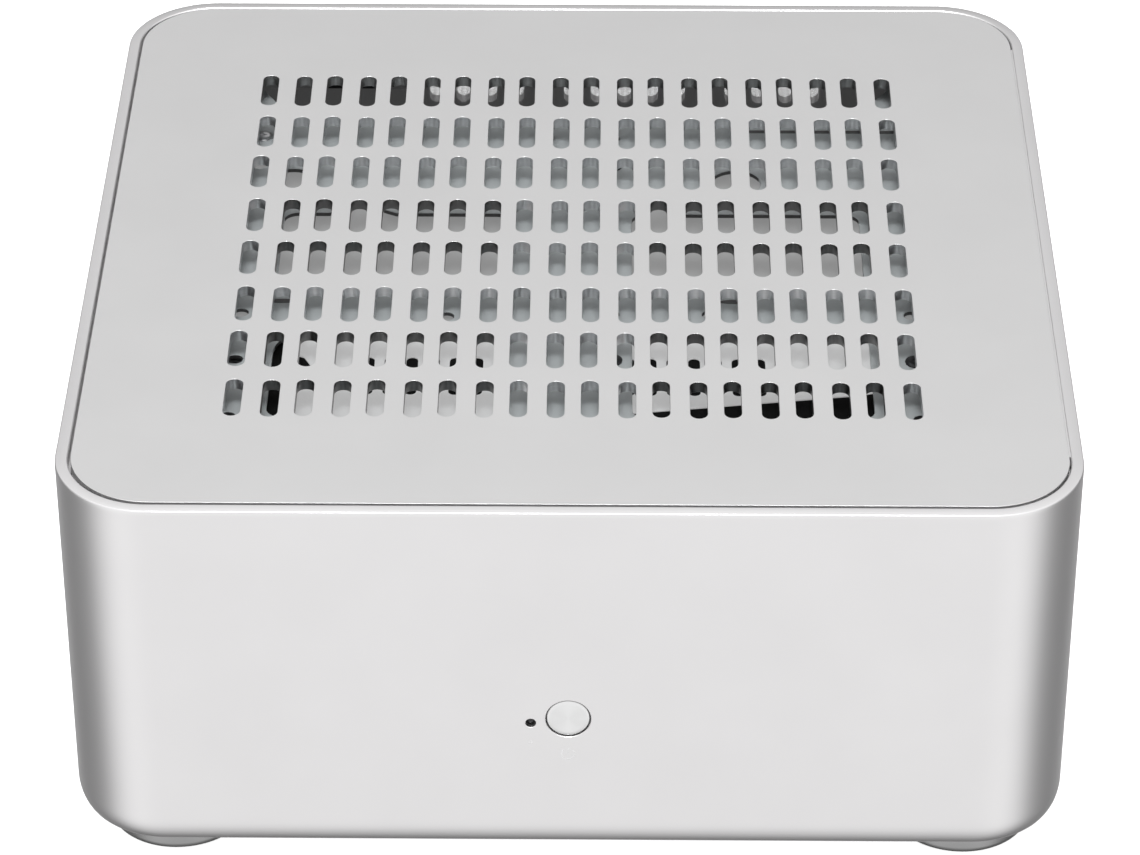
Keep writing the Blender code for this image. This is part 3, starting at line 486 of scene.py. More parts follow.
# a dark copy of the tray's material: painted shade
TRAY_SHADE = moulded("tray_painted_shade", (0.10, 0.10, 0.10), 0.5, 0.5, 2500, 0.1)
SPREADER = moulded("spreader_aluminium", (0.42, 0.42, 0.42), 0.55, 0.1, 2500, 0.1, variation=0.02)
PAD = moulded("grey_pad", (0.19, 0.19, 0.19), 0.7, 0.0, 1500, 0.1, variation=0.02)
PLUG = moulded("plug_plastic", (0.05, 0.05, 0.052), 0.5, 0.0, 2000, 0.2)
for faint, glow in ((SPREADER, 0.30), (PAD, 0.205), (CASE_INSIDE_SHADED, 0.03), (PLUG, 0.04)):     # stands in for light that comes back up from the case's floor
    faint.node_tree.nodes["Principled BSDF"].inputs["Emission Color"].default_value = (1, 1, 1, 1)
    faint.node_tree.nodes["Principled BSDF"].inputs["Emission Strength"].default_value = glow
HEATSINK = brushed("heatsink_aluminium", (0.74, 0.75, 0.77), 0.36, "Y", 0.15)
DRIVE = moulded("drive_case", (0.42, 0.42, 0.43), 0.5, 0.9, 1500, 0.1)
STEEL = moulded("zinc_steel", (0.62, 0.62, 0.63), 0.3, 1.0, 1500, 0.15)
TIN = brushed("tinned_steel", (0.72, 0.72, 0.73), 0.26, "Z", 0.1)
BRASS = moulded("brass", (0.72, 0.55, 0.26), 0.28, 1.0, 1500, 0.1)
GOLD = moulded("gold_contacts", (0.83, 0.62, 0.26), 0.22, 1.0, 1500, 0.05)
# near-black screw heads: painted shade
SCREW_HEAD_SHADE = moulded("screw_head_painted_shade", (0.03, 0.03, 0.032), 0.35, 0.6, 2500, 0.1)
BLACK = moulded("black_plastic", (0.022, 0.022, 0.024), 0.45, 0.0, 2500, 0.25)
SOFT_BLACK = moulded("cable_jacket", (0.02, 0.02, 0.021), 0.6, 0.0, 1200, 0.2)
# near-black stand-in for deep shade: painted shade
BLACK_SHADE = moulded("painted_shade_black", (0.005, 0.005, 0.005), 0.85, 0.0, 900, 0.3)
BLACK_SHADE.node_tree.nodes["Principled BSDF"].inputs["Specular IOR Level"].default_value = 0.15
WHITE = moulded("white_nylon", (0.78, 0.76, 0.70), 0.4, 0.0, 2000, 0.1)
GREY_PLASTIC = moulded("grey_plastic", (0.22, 0.23, 0.24), 0.5, 0.0, 2000, 0.2)
CERAMIC = moulded("chip_resin", (0.03, 0.03, 0.032), 0.35, 0.0, 3000, 0.15)
RUBBER = moulded("foot_rubber", (0.20, 0.20, 0.205), 0.78, 0.0, 3000, 0.4)
LABEL = moulded("blank_label", (0.74, 0.74, 0.73), 0.5, 0.0, 500, 0.05, 0.00001, 0.02)
MARK = moulded("etched_mark", (0.66, 0.66, 0.66), 0.55, 0.6, 3000, 0.1)
TAN = moulded("ceramic_tan", (0.42, 0.33, 0.22), 0.5, 0.0, 3000, 0.1)
RED = moulded("red_insulation", (0.42, 0.02, 0.02), 0.5, 0.0, 1200, 0.15)
YELLOW = moulded("yellow_insulation", (0.62, 0.45, 0.03), 0.5, 0.0, 1200, 0.15)
JACK_GREEN = moulded("green_jack", (0.18, 0.42, 0.12), 0.45, 0.0, 2000, 0.15)
JACK_BLUE = moulded("blue_jack", (0.12, 0.25, 0.50), 0.45, 0.0, 2000, 0.15)
JACK_PINK = moulded("pink_jack", (0.60, 0.22, 0.28), 0.45, 0.0, 2000, 0.15)
LENS = moulded("smoked_lens", (0.012, 0.012, 0.014), 0.12, 0.0, 900, 0.02)
PCB = circuit_board("solder_mask", (0.006, 0.030, 0.018), (0.014, 0.058, 0.034))
PCB_DARK = circuit_board("dark_solder_mask", (0.010, 0.012, 0.014), (0.024, 0.028, 0.032))


# ---- The case ------------------------------------------------------------------------------

def wall_section():
    """The wall's closed section as (inset from the outside, height) points."""
    low, high = SHELL_LOW.z, SHELL_HIGH.z
    lip = 0.2
    points = [(0.0, high - 1.2)]
    for share in range(4):
        angle = math.pi / 2 * share / 3
        points.append((RIM * (1 - math.cos(angle)), high - RIM * (1 - math.sin(angle))))
    points += [(RIM_WALL - lip, high), (RIM_WALL, high - lip), (RIM_WALL, LEDGE), (WALL, LEDGE), (WALL, LEDGE - 1.0),
               (WALL, low + 1.0), (WALL, low + lip), (WALL - lip, low)]
    for share in range(9):
        angle = math.pi / 2 * (1 - share / 8)
        points.append((BOTTOM_CURVE[0] * (1 - math.cos(angle)), low + BOTTOM_CURVE[1] * (1 - math.sin(angle))))
    points.append((0.0, low + BOTTOM_CURVE[1] + 1.0))
    return points


def supported_square(half, radius, steps=28):
    """A rounded square whose sides carry a point close to each corner, which keeps their shading flat."""
    near = 0.6
    points = []
    for corner, (sx, sy) in enumerate(((1, -1), (1, 1), (-1, 1), (-1, -1))):
        start = math.radians(90 * corner - 90)
        piece = arc(sx * (half - radius), sy * (half - radius), radius, 90 * corner - 90, 90 * corner, steps)
        first = (piece[0][0] + near * math.sin(start), piece[0][1] - near * math.cos(start))
        last = (piece[-1][0] - near * math.cos(start), piece[-1][1] - near * math.sin(start))
        points += [first] + piece + [last]
    return points


def sweep_wall(section, half, radius):
    """Sweeps a closed wall section round the rounded square. Its inner faces take the second material, a darker copy
    that is painted shade.
    """
    shape = bmesh.new()
    rings = []
    for inset, height in section:
        outline = supported_square(half - inset, radius - inset)
        rings.append([shape.verts.new((x, y, height)) for x, y in outline])
    count = len(rings[0])
    for k, ring in enumerate(rings):
        following = rings[(k + 1) % len(rings)]
        inside = min(section[k][0], section[(k + 1) % len(section)][0]) >= WALL
        for i in range(count):
            j = (i + 1) % count
            face = shape.faces.new((ring[i], following[i], following[j], ring[j]))
            face.material_index = int(inside)
    bmesh.ops.recalc_face_normals(shape, faces=shape.faces)
    return shape


def rear_openings():
    """Cutters for the connector opening, the inlet and the row of vents in the back wall."""
    shape = bmesh.new()
    back = (INNER - 2, HALF + 2)
    middle = (SHIELD_LOW.z + SHIELD_HIGH.z) / 2
    half_width, half_height = 158.75 / 2, 44.45 / 2
    add_shape(shape, plate_shape(
        [rectangle(-half_width, half_width, middle - half_height, middle + half_height, 0.8, 3)], *back, upright=True))
    add_shape(shape, plate_shape([circle(INLET_X, INLET_Z, 4)], *back, upright=True))
    for i in range(15):
        vent = obround(11 + (i - 7) * 6.15, 73.5, 3.2, 15)
        add_shape(shape, plate_shape([vent], *back, upright=True))
    return shape


def front_openings():
    """Cutters for the button's and the light's holes, which open with a small chamfer."""
    shape = bmesh.new()
    for x, z, radius, edge in ((0, BUTTON_Z, BUTTON_RADIUS + 0.25, 0.12), (LIGHT_X, LIGHT_Z, 1.05, 0.08)):
        profile = [(0, 1), (radius + edge, 1), (radius + edge, 0), (radius, -edge), (radius, -WALL - 1),
                   (0, -WALL - 1)]
        add_turned(shape, profile, (x, -HALF, z), "-Y", 64)
    return shape


def build_vent_shade_mesh():
    """A fine woven mesh behind the rear vents that dims the view through them: painted shade for the shade on the floor
    behind the case.
    """
    shape = bmesh.new()
    x0, x1, z0, z1 = 11 - 48, 11 + 48, 64.5, 82.2
    wire, pitch, y = 0.055, 0.28, INNER - 0.35
    for i in range(int((x1 - x0) / pitch) + 1):
        x = x0 + i * pitch
        add_box(shape, (x - wire, x + wire), (y - 0.1, y), (z0, z1))
    for i in range(int((z1 - z0) / pitch) + 1):
        z = z0 + i * pitch
        add_box(shape, (x0, x1), (y, y + 0.1), (z - wire, z + wire))
    finish_piece(object_of("vent_shade_mesh", shape), CASE_INSIDE_SHADED)


def build_shell():
    shell = object_of("case_shell", sweep_wall(wall_section(), HALF, CORNER_RADIUS))
    cut(shell, rear_openings())
    cut(shell, front_openings())
    finish_piece(shell, [CASE, CASE_INSIDE_SHADED], nodes=["shell"])
    shape = bmesh.new()
    low, high = FLOOR_HIGH.z + 0.3, TRAY_LOW.z - 0.3
    for _, sx, sy in CORNERS:
        profile = [(3.6, high - 0.2), (3.4, high), (1.7, high), (1.5, high - 0.2), (1.5, high - 9), (0, high - 9.6),
                   (0, low + 9.6), (1.5, low + 9), (1.5, low + 0.2), (1.7, low), (3.4, low), (3.6, low + 0.2)]
        outer = [point for point in profile if point[0] > 0]
        add_turned(shape, outer, (sx * BOSS, sy * BOSS, 0), "Z", 32)
    finish_piece(object_of("corner_bosses", shape), CASE)
    shape = bmesh.new()                      # fills most of the narrow gap on the cover's right side
    add_box(shape, (COVER_HIGH.x + 0.03, HALF - RIM_WALL), (-80, 80), (LEDGE + 0.3, SHELL_HIGH.z - 0.12))
    finish_piece(object_of("rim_strip", shape), CASE)


def slot_centre(row, column):
    """Centre of a cover slot; row 0 is at the back."""
    by_column = 1 if column % 2 else -1
    by_row = 1 if row % 2 else -1
    x = SLOT_GRID_CENTRE[0] + (column - (SLOT_COLUMNS - 1) / 2) * SLOT_PITCH[0]
    y = SLOT_GRID_CENTRE[1] + ((SLOT_ROWS - 1) / 2 - row) * SLOT_PITCH[1]
    x += by_column * COLUMN_STAGGER[0] + by_row * ROW_STAGGER[0]
    y += by_column * COLUMN_STAGGER[1] + by_row * ROW_STAGGER[1]
    return x, y


def build_cover():
    half = (COVER_HIGH.x - COVER_LOW.x) / 2
    shift_x, shift_y = (COVER_LOW.x + COVER_HIGH.x) / 2, (COVER_LOW.y + COVER_HIGH.y) / 2
    edge = square(half, CORNER_RADIUS - (HALF - half) + 0.22)
    outlines = [[(x + shift_x, y + shift_y) for x, y in edge]]
    for row in range(SLOT_ROWS):
        for column in range(SLOT_COLUMNS):
            outlines.append(obround(*slot_centre(row, column), *SLOT_SIZE))
    cover = plate("cover_plate", outlines, COVER_LOW.z, COVER_HIGH.z, 0.04)
    sockets = bmesh.new()
    for _, sx, sy in CORNERS:
        add_cylinder(sockets, (sx * BOSS, sy * BOSS, COVER_LOW.z - 1), 1.5, 2.6)
    cut(cover, sockets, "MANIFOLD")
    tone_slot_walls(cover)
    finish_piece(cover, [COVER, SLOT_WALL, SLOT_WALL_SHADED, SLOT_WALL_BACK_SHADED], "cover", ["top_cover"])


def tone_slot_walls(cover):
    """Gives the slots' walls their own material, with painted shade: darker copies in the last row and over the tray's
    cut-outs, where the walls face dark openings.
    """
    centres = [slot_centre(row, column) for row in range(SLOT_ROWS) for column in range(SLOT_COLUMNS)]
    for polygon in cover.data.polygons:
        x, y = polygon.center.x / MM, polygon.center.y / MM
        if abs(polygon.normal.z) > 0.3 or max(abs(x), abs(y)) > 90:
            continue
        slot_x, slot_y = min(centres, key=lambda centre: (centre[0] - x) ** 2 + ((centre[1] - y) / 2) ** 2)
        seen = slot_y + 7.5
        over = 12.4 < abs(slot_x) < 61 and (-58.2 < seen < -27 or -9 < seen < 19.4)
        last_row = slot_y > slot_centre(1, 0)[1] + 5
        polygon.material_index = 3 if last_row else 2 if over else 1


DRIVE_SCREWS = {"left": (50.8, -25.8), "right": (-37.5, 39.1)}
DRIVE_X = {side: sum(value.x for value in span("drive_" + side)) / 2 for side in ("left", "right")}
SCREW_HALF = 30.86
EARS = {
    "left": [(-37.8, 19.4), (-40.5, 20.8), (-41.5, 24), (-49.5, 24), (-50.5, 20.8), (-52, 19.4)],
    "right": [(22.5, 19.4), (21, 20.8), (20.5, 24), (15.7, 24), (15.2, 20.8)],
}


def eared_window(x0, x1, y0, y1, ear, radius=3):
    """A window whose back edge widens into a small ear with sloping sides."""
    return (
        arc(x0 + radius, y0 + radius, radius, 180, 270, 6)
        + arc(x1 - radius, y0 + radius, radius, 270, 360, 6)
        + arc(x1 - radius, y1 - radius, radius, 0, 90, 6)
        + ear
        + arc(x0 + radius, y1 - radius, radius, 90, 180, 6)
    )


def in_plain_corner(x, y):
    """True for the tray's back right corner, which shows no holes or screws."""
    return x > 65 and y > 0


def build_tray():
    half, notch, notch_y, corner, r = TRAY_HIGH.x, 69.6, 63, 13.5, 4
    outlines = [
        arc(half - corner, -half + corner, corner, -90, 0, 10)
        + arc(half - corner, half - corner, corner, 0, 90, 10)
        + arc(notch + r, half - r, r, 90, 180, 6)
        + [(notch, 72.8), (63.3, notch_y), (-64.6, notch_y), (-notch, 71.7)]
        + arc(-notch - r, half - r, r, 0, 90, 6)
        + arc(-half + corner, half - corner, corner, 90, 180, 10)
        + arc(-half + corner, -half + corner, corner, 180, 270, 10)
    ]
    for side, x0, x1 in (("left", -61.6, -13.3), ("right", 12.4, 60.8)):
        outlines.append(eared_window(x0, x1, -9, 19.4, EARS[side]))
        for row in (50.8, 39.1, -20, -25.8, -37.5, -58.2):
            for offset in (-SCREW_HALF, SCREW_HALF):
                if not in_plain_corner(DRIVE_X[side] + offset, row):
                    outlines.append(circle(DRIVE_X[side] + offset, row, 1.6, 24))
    outlines.append(rectangle(12.4, 60.8, -58.2, -27, 3))
    outlines.append(arc(-57.8, -55.2, 3, 180, 270, 6) + arc(-16.3, -55.2, 3, 270, 360, 6) + arc(-16.3, -30, 3, 0, 90, 6)
                    + arc(-53.1, -34.7, 7.7, 90, 180, 12))
    outlines += [circle(-25.8, -21.1, 1.6, 24), circle(28.4, -20, 1.6, 24)]
    outlines += [circle(-60.7, 32.5, 5), circle(34.9, 32.2, 5.4)]
    for _, sx, sy in CORNERS:
        outlines.append(circle(sx * BOSS, sy * BOSS, 1.6, 20))
    tray = plate("tray_plate", outlines, TRAY_LOW.z, TRAY_HIGH.z, 0.1)
    for polygon in tray.data.polygons:       # cut edges that face the front take the tray's dark copy: painted shade
        polygon.material_index = int(abs(polygon.normal.z) < 0.3 and polygon.normal.y < -0.3)
    finish_piece(tray, [TRAY, TRAY_SHADE], nodes=["drive_tray"])
    pressed = bmesh.new()                    # a shallow step and two dimples pressed into the tray, in the tray's dark copy: painted shade along them
    add_box(pressed, (37, 70), (53.4, 54.6), (TRAY_HIGH.z, TRAY_HIGH.z + 0.05))
    for x, y in ((-60, -15.6), (33.8, -15.2)):
        dimple = [(x + 3.4 * a, y + 0.8 * b) for a, b in circle(0, 0, 1, 24)]
        add_shape(pressed, plate_shape([dimple], TRAY_HIGH.z, TRAY_HIGH.z + 0.05))
    finish_piece(object_of("tray_pressings", pressed), TRAY_SHADE)
    build_drive_screws()


def add_screw_head(shape, place, radius, height, axis="Z", index=0):
    """A round screw head with a cross recess, standing on the given place."""
    top = height
    profile = [(0, 0), (radius, 0), (radius, top * 0.45), (radius * 0.82, top * 0.85), (radius * 0.55, top),
               (radius * 0.5, top), (radius * 0.14, top * 0.35), (0, top * 0.35)]
    start = len(shape.verts)
    add_turned(shape, profile, place, axis, 16, index)
    shape.verts.ensure_lookup_table()
    head = shape.verts[start:]
    base = Vector(place)
    along = (AXES[axis] @ Vector((0, 0, 1, 0))).xyz
    for vert in head:                     # pulls the recess's rim in between its four arms
        offset = vert.co - base
        height_here = offset.dot(along)
        flat = offset - along * height_here
        if height_here > top * 0.95 and flat.length < radius * 0.52:
            local = AXES[axis].inverted() @ Vector((*flat, 0))
            angle = math.atan2(local.y, local.x)
            if abs(math.sin(2 * angle)) > 0.5:
                vert.co = base + along * height_here + flat * 0.42


def build_drive_screws():
    shape = bmesh.new()
    for side, rows in DRIVE_SCREWS.items():
        for y in rows:
            for offset in (-SCREW_HALF, SCREW_HALF):
                x = DRIVE_X[side] + offset
                if not in_plain_corner(x, y):
                    # black heads are painted shade; the row at the back is plain steel
                    add_screw_head(shape, (x, y, TRAY_HIGH.z), 2.2, 0.6, index=int(y > 50))
    finish_piece(object_of("drive_screws", shape), [SCREW_HEAD_SHADE, STEEL], smooth=40)


def foot_centre(name):
    low, high = span("foot_" + name)
    return (low.x + high.x) / 2, (low.y + high.y) / 2


def build_floor_plate():
    outlines = [square(FLOOR_HIGH.x, CORNER_RADIUS - (HALF - FLOOR_HIGH.x))]
    for side in (-1, 1):
        for i in range(7):
            outlines.append(obround(side * 30 + (i - 3) * 5, 64.8, 2.8, 15.7))
    for name, sx, sy in CORNERS:
        outlines.append(circle(sx * BOSS, sy * BOSS, 1.6, 20))
        outlines.append(circle(*foot_centre(name), 2.2, 20))
        outlines.append(circle(sx * BOARD_HOLE_X, BOARD_HOLES_Y[sy < 0], 1.6, 20))
    floor = plate("floor_plate", outlines, FLOOR_LOW.z, FLOOR_HIGH.z, 0.15)
    finish_piece(floor, FLOOR_METAL, nodes=["base_plate"])


def build_feet():
    """Turned aluminium cups, each with a pressed-in rubber sole."""
    for name, _, _ in CORNERS:
        low, high = span("foot_" + name)
        x, y = foot_centre(name)
        shelf, shoulder, neck = FLOOR_LOW.z - 0.3, 7.6, 12.6
        wide = (high.x - low.x) / 2
        pad_low, pad_high = span("foot_pad_" + name)
        pad = (pad_high.x - pad_low.x) / 2
        recess = pad + 0.3
        shape = bmesh.new()
        profile = [(0, high.z), (1.8, high.z), (1.8, shelf), (neck, shelf), (neck, shoulder), (wide - 0.4, shoulder),
                   (wide, shoulder - 0.4), (wide, 2.6), (wide - 0.15, 1.9), (wide - 0.55, 1.2), (wide - 1.1, 0.75),
                   (wide - 1.5, 0.6), (recess + 0.1, 0.6), (recess, 0.7), (recess, 1.8), (0, 1.8)]
        add_turned(shape, profile, (x, y, 0), "Z", 96)
        metal = object_of("foot_cup_" + name, shape)
        finish_piece(metal, FOOT_METAL_SHADED, nodes=["foot_" + name])
        shape = bmesh.new()
        profile = [(0, 1.5), (pad, 1.5), (pad, 0.3), (pad - 0.3, 0), (4, 0), (3.6, 0.3), (3.6, 0.9), (0, 0.9)]
        add_turned(shape, profile, (x, y, 0), "Z", 64)
        sole = object_of("foot_sole_" + name, shape)
        finish_piece(sole, RUBBER, nodes=["foot_pad_" + name])


def build_fasteners():
    """Case screws, tray studs, and the motherboard's standoffs and screws."""
    for name, sx, sy in CORNERS:
        x, y = sx * BOSS, sy * BOSS
        low, high = span("base_screw_" + name)
        shape = bmesh.new()
        add_screw_head(shape, (x, y, low.z + 1.5), 2.5, 1.5, "-Z")
        add_turned(shape, thread(1.25, 0.5, high.z - low.z - 1.5), (x, y, low.z + 1.5), "Z", 20)
        finish_piece(object_of("case_screw_" + name, shape), STEEL, nodes=["base_screw_" + name],
                     smooth=40)
        low, high = span("tray_stud_" + name)
        shelf = TRAY_HIGH.z + 0.3
        shape = bmesh.new()
        add_turned(shape, thread(1.25, 0.5, shelf - low.z), (x, y, low.z), "Z", 20)
        add_turned(shape, [(0, shelf), (2.3, shelf), (2.5, shelf + 0.2), (2.5, shelf + 2.2), (2.3, shelf + 2.4), (1.2, shelf + 2.4),
                           (1.2, high.z - 0.5), (0.8, high.z), (0, high.z)], (x, y, 0), "Z", 24)
        finish_piece(object_of("cover_stud_" + name, shape), STEEL, nodes=["tray_stud_" + name],
                     smooth=40)
        x, y = sx * BOARD_HOLE_X, BOARD_HOLES_Y[sy < 0]
        low, high = span("standoff_" + name)
        shape = bmesh.new()
        add_turned(shape, [(0, low.z), (2.7, low.z), (3, low.z + 0.3), (3, high.z - 0.3), (2.7, high.z), (1.6, high.z),
                           (1.6, high.z - 3), (0, high.z - 3)], (x, y, 0), "Z", 6)
        finish_piece(object_of("board_standoff_" + name, shape), BRASS, nodes=["standoff_" + name])
        low, high = span("board_screw_" + name)
        shape = bmesh.new()
        add_screw_head(shape, (x, y, BOARD_TOP + 0.3), 3, high.z - BOARD_TOP - 0.3)
        add_cylinder(shape, (x, y, low.z), 1.5, BOARD_TOP + 0.35 - low.z, sides=16)
        finish_piece(object_of("motherboard_screw_" + name, shape), STEEL,
                     nodes=["board_screw_" + name], smooth=40)


def thread(radius, pitch, length):
    """A turned outline with ridges like a screw thread's."""
    points = [(0, 0)]
    count = int(length / pitch)
    for i in range(count):
        points += [(radius * 0.82, i * pitch), (radius, (i + 0.5) * pitch)]
    points += [(radius * 0.82, count * pitch), (radius * 0.82, length), (0, length)]
    return points


# ---- Front controls ------------------------------------------------------------------------

def build_button():
    back, face = BUTTON_HIGH.y, BUTTON_LOW.y
    flange = -INNER + 0.3
    shape = bmesh.new()
    r = BUTTON_RADIUS
    profile = [(0, -face), (r - 0.9, -face), (r - 0.35, -face - 0.01), (r - 0.12, -face - 0.08), (r, -face - 0.25),
               (r, -flange), (5.3, -flange), (5.3, -flange - 0.9), (1.6, -flange - 0.9), (1.6, -back), (0, -back)]
    add_turned(shape, profile, (0, 0, BUTTON_Z), "-Y", 96)
    finish_piece(object_of("button_cap", shape), BUTTON_METAL, "button", ["power_button"])


def build_light():
    shape = bmesh.new()
    tall = -LIGHT_LOW.y
    profile = [(0, tall), (0.3, tall - 0.04), (0.55, tall - 0.18), (0.75, tall - 0.5), (0.75, INNER - 0.3),
               (1.4, INNER - 0.3), (1.4, -LIGHT_HIGH.y), (0, -LIGHT_HIGH.y)]
    add_turned(shape, profile, (LIGHT_X, 0, LIGHT_Z), "-Y", 32)
    finish_piece(object_of("light_guide", shape), LENS, nodes=["status_light"])


def build_marks():
    """The plain power symbol under the button and a small lamp symbol under the light, as thin etched marks."""
    depth = (-HALF - 0.008, -HALF + 0.02)
    width = 0.16
    shape = bmesh.new()
    z = 31.7
    ring = arc(0, z, 1.25 + width, 125, 415, 40) + arc(0, z, 1.25, 415, 125, 40)
    add_shape(shape, plate_shape([ring], *depth, upright=True))
    add_shape(shape, plate_shape([rectangle(-width / 2, width / 2, z + 0.2, z + 1.75)], *depth, upright=True))
    x, z = LIGHT_X, 34.6
    add_shape(shape, plate_shape([rectangle(x - 0.5, x + 0.5, z - 0.35, z - 0.2)], *depth, upright=True))
    add_shape(shape, plate_shape([[(x - 0.4, z - 0.2), (x + 0.4, z - 0.2), (x, z + 0.45)]], *depth, upright=True))
    finish_piece(object_of("front_marks", shape), MARK)


def build_switch():
    low, high = span("switch_board")
    front = high.y - 1.6
    z = BUTTON_Z
    shape = bmesh.new()
    add_box(shape, (low.x, high.x), (front, high.y), (low.z, high.z), 0.1)
    add_box(shape, (-2.2, 2.2), (front - 2.5, front), (z - 2.2, z + 2.2), 0.15, 1)
    add_box(shape, (-2.3, 2.3), (front - 2.6, front - 2.4), (z - 2.3, z + 2.3), 0.05, 2)
    add_cylinder(shape, (0, front - 2.4, z), 1.4, front - 2.4 - low.y, 0.1, "-Y", 24, 1)
    add_box(shape, (-10.5, -8.6), (front - 0.6, front), (z - 5, z - 3.4), 0.05, 3)
    add_box(shape, (5, 6.6), (front - 0.5, front), (z + 2.6, z + 3.4), 0.05, 1)
    add_box(shape, (5, 6.6), (front - 0.5, front), (z - 3.4, z - 2.6), 0.05, 1)
    finish_piece(object_of("switch_circuit", shape), [PCB_DARK, BLACK, STEEL, WHITE],
                 nodes=["switch_board"])


def build_spring():
    low, high = span("button_spring")
    curve = bpy.data.curves.new("return_spring", "CURVE")
    curve.dimensions = "3D"
    curve.bevel_depth = 0.25 * MM
    curve.bevel_resolution = 3
    curve.use_fill_caps = True
    turns, per_turn = 4, 24
    count = turns * per_turn
    spline = curve.splines.new("POLY")
    spline.points.add(count)
    start, end = low.y + 0.25, high.y - 0.25
    for i in range(count + 1):
        angle = 2 * math.pi * i / per_turn
        spline.points[i].co = (
            3.6 * math.cos(angle) * MM, (start + (end - start) * i / count) * MM,
            (BUTTON_Z + 3.6 * math.sin(angle)) * MM, 1,
        )
    source = bpy.data.objects.new("spring_path", curve)
    bpy.context.scene.collection.objects.link(source)
    shape = bmesh.new()
    shape.from_mesh(evaluated_mesh(source))
    bpy.data.objects.remove(source)
    bmesh.ops.remove_doubles(shape, verts=shape.verts, dist=1e-7)
    spring = object_of("return_spring", shape, keep_scale=True)
    finish_piece(spring, STEEL, nodes=["button_spring"])
    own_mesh(spring)


# ---- Drives --------------------------------------------------------------------------------

SPREADERS = {
    "left": (-27.9, [(-57, -55.6), (-50, -57.2), (-12.5, -62.5), (-10.5, -60.5), (-10.5, -25.5), (-12.5, -23.5), (-55, -23.5),
                     (-57, -25.5), (-57, -33.4), (-54.4, -34.7), (-51.3, -41), (-51.6, -42.5), (-57, -47.5)]),
    "right": (25, [(10, -52.8), (11.8, -54.5), (58, -47.6), (61.4, -46.6), (61.4, -25.5), (59, -23.5), (12, -23.5),
                   (10, -25.5)]),
}


def build_spreader(side):
    """A vented plate over a drive's front end, on a black sheet, a little larger, that is painted shade for the dark
    gaps round and under the plate.
    """
    group_x, outline = SPREADERS[side]
    low, high = span("heat_spreader_" + side)
    outlines = [outline]
    for i in range(7):
        outlines.append(obround(group_x + (i - 3) * 4.42, -41.3, 2.4, 13.7))
    metal = plate("vented_spreader_" + side, outlines, high.z - 0.3, high.z, 0.05)
    finish_piece(metal, SPREADER, nodes=["heat_spreader_" + side])
    x0, x1 = (-63, -9) if side == "left" else (9, 63)
    sheet = plate("shade_sheet_" + side, [rectangle(x0, x1, -63, -25, 1)], low.z - 0.2, high.z - 0.32)
    finish_piece(sheet, BLACK_SHADE)


def build_drive(side, connector_side):
    """A 2.5-inch drive: a cast tub with a stepped lid under a grey pad, and its connector at one end."""
    low, high = span("drive_" + side)
    middle = DRIVE_X[side]
    shape = bmesh.new()
    add_box(shape, (low.x, high.x), (low.y, high.y), (low.z, high.z - 0.8), 0.5, 0, 2)
    add_box(shape, (low.x + 1.2, high.x - 1.2), (low.y + 1.2, high.y - 1.2), (high.z - 0.9, high.z - 0.1), 0.25, 0, 2)
    add_box(shape, (low.x + 1, high.x - 1), (-22.5, min(high.y - 2, 62)), (high.z - 0.15, high.z + 0.8), 0.1, 4)
    add_box(shape, (low.x + 6, high.x - 6), (low.y + 8, high.y - 8), (low.z - 0.02, low.z + 0.1), 0.02, 1)
    end = low.y if connector_side < 0 else high.y
    x = middle - connector_side * 14.35
    add_box(shape, (x - 17, x + 17), sorted((end - connector_side * 0.35, end - connector_side * 0.02)),
            (low.z + 1.2, low.z + 5.2), 0.1, 2)
    # black discs in the side screw holes: painted shade
    for sx in (-1, 1):
        for y in DRIVE_SCREWS[side]:
            place = (middle + sx * 34.7, y, low.z + 3)
            add_cylinder(shape, place, 1.5, 0.31, 0, "X" if sx > 0 else "-X", 20, 3)
    finish_piece(object_of("solid_state_drive_" + side, shape), [DRIVE, LABEL, BLACK, BLACK_SHADE, PAD],
                 nodes=["drive_" + side])


# ---- Motherboard and what stands on it -----------------------------------------------------

def build_board():
    outlines = [rectangle(BOARD_LOW.x, BOARD_HIGH.x, BOARD_LOW.y, BOARD_HIGH.y, 1.2, 4)]
    for _, sx, sy in CORNERS:
        outlines.append(circle(sx * BOARD_HOLE_X, BOARD_HOLES_Y[sy < 0], 1.98, 24))
    board = plate("mainboard", outlines, BOARD_LOW.z, BOARD_HIGH.z, 0.05)
    finish_piece(board, PCB, nodes=["motherboard"])
    shape = bmesh.new()
    for _, sx, sy in CORNERS:             # plated rings round the screw holes
        place = (sx * BOARD_HOLE_X, BOARD_HOLES_Y[sy < 0], BOARD_TOP)
        add_turned(shape, [(2.05, 0), (2.05, 0.06), (4.2, 0.06), (4.2, 0)], place, "Z", 32)
    finish_piece(object_of("board_hole_rings", shape), TIN)


STANDING = (
    "cpu_socket", "memory_slot", "chipset_heatsink", "board_battery", "power_connector", "usb_ports",
    "video_ports", "network_usb_ports", "audio_jacks",
)
PLUG_FEET = ((34, 46, -71, -65), (-70, -58, 52, 58), (-15, -5, -74, -69), (38, 46, -31, -22))


def blocked_areas():
    """Plan rectangles on the board that other parts, plugs and screws stand on."""
    areas = list(PLUG_FEET)
    for node in STANDING:
        low, high = span(node)
        areas.append((low.x, high.x, low.y, high.y))
    for _, sx, sy in CORNERS:
        x, y = sx * BOARD_HOLE_X, BOARD_HOLES_Y[sy < 0]
        areas.append((x - 5, x + 5, y - 5, y + 5))
    return areas


def is_free(areas, x0, x1, y0, y1, margin=0.6):
    if x0 < BOARD_LOW.x + 1.5 or x1 > BOARD_HIGH.x - 1.5 or y0 < BOARD_LOW.y + 1.5 or y1 > BOARD_HIGH.y - 1.5:
        return False
    return all(x1 + margin < a or x0 - margin > b or y1 + margin < c or y0 - margin > d for a, b, c, d in areas)


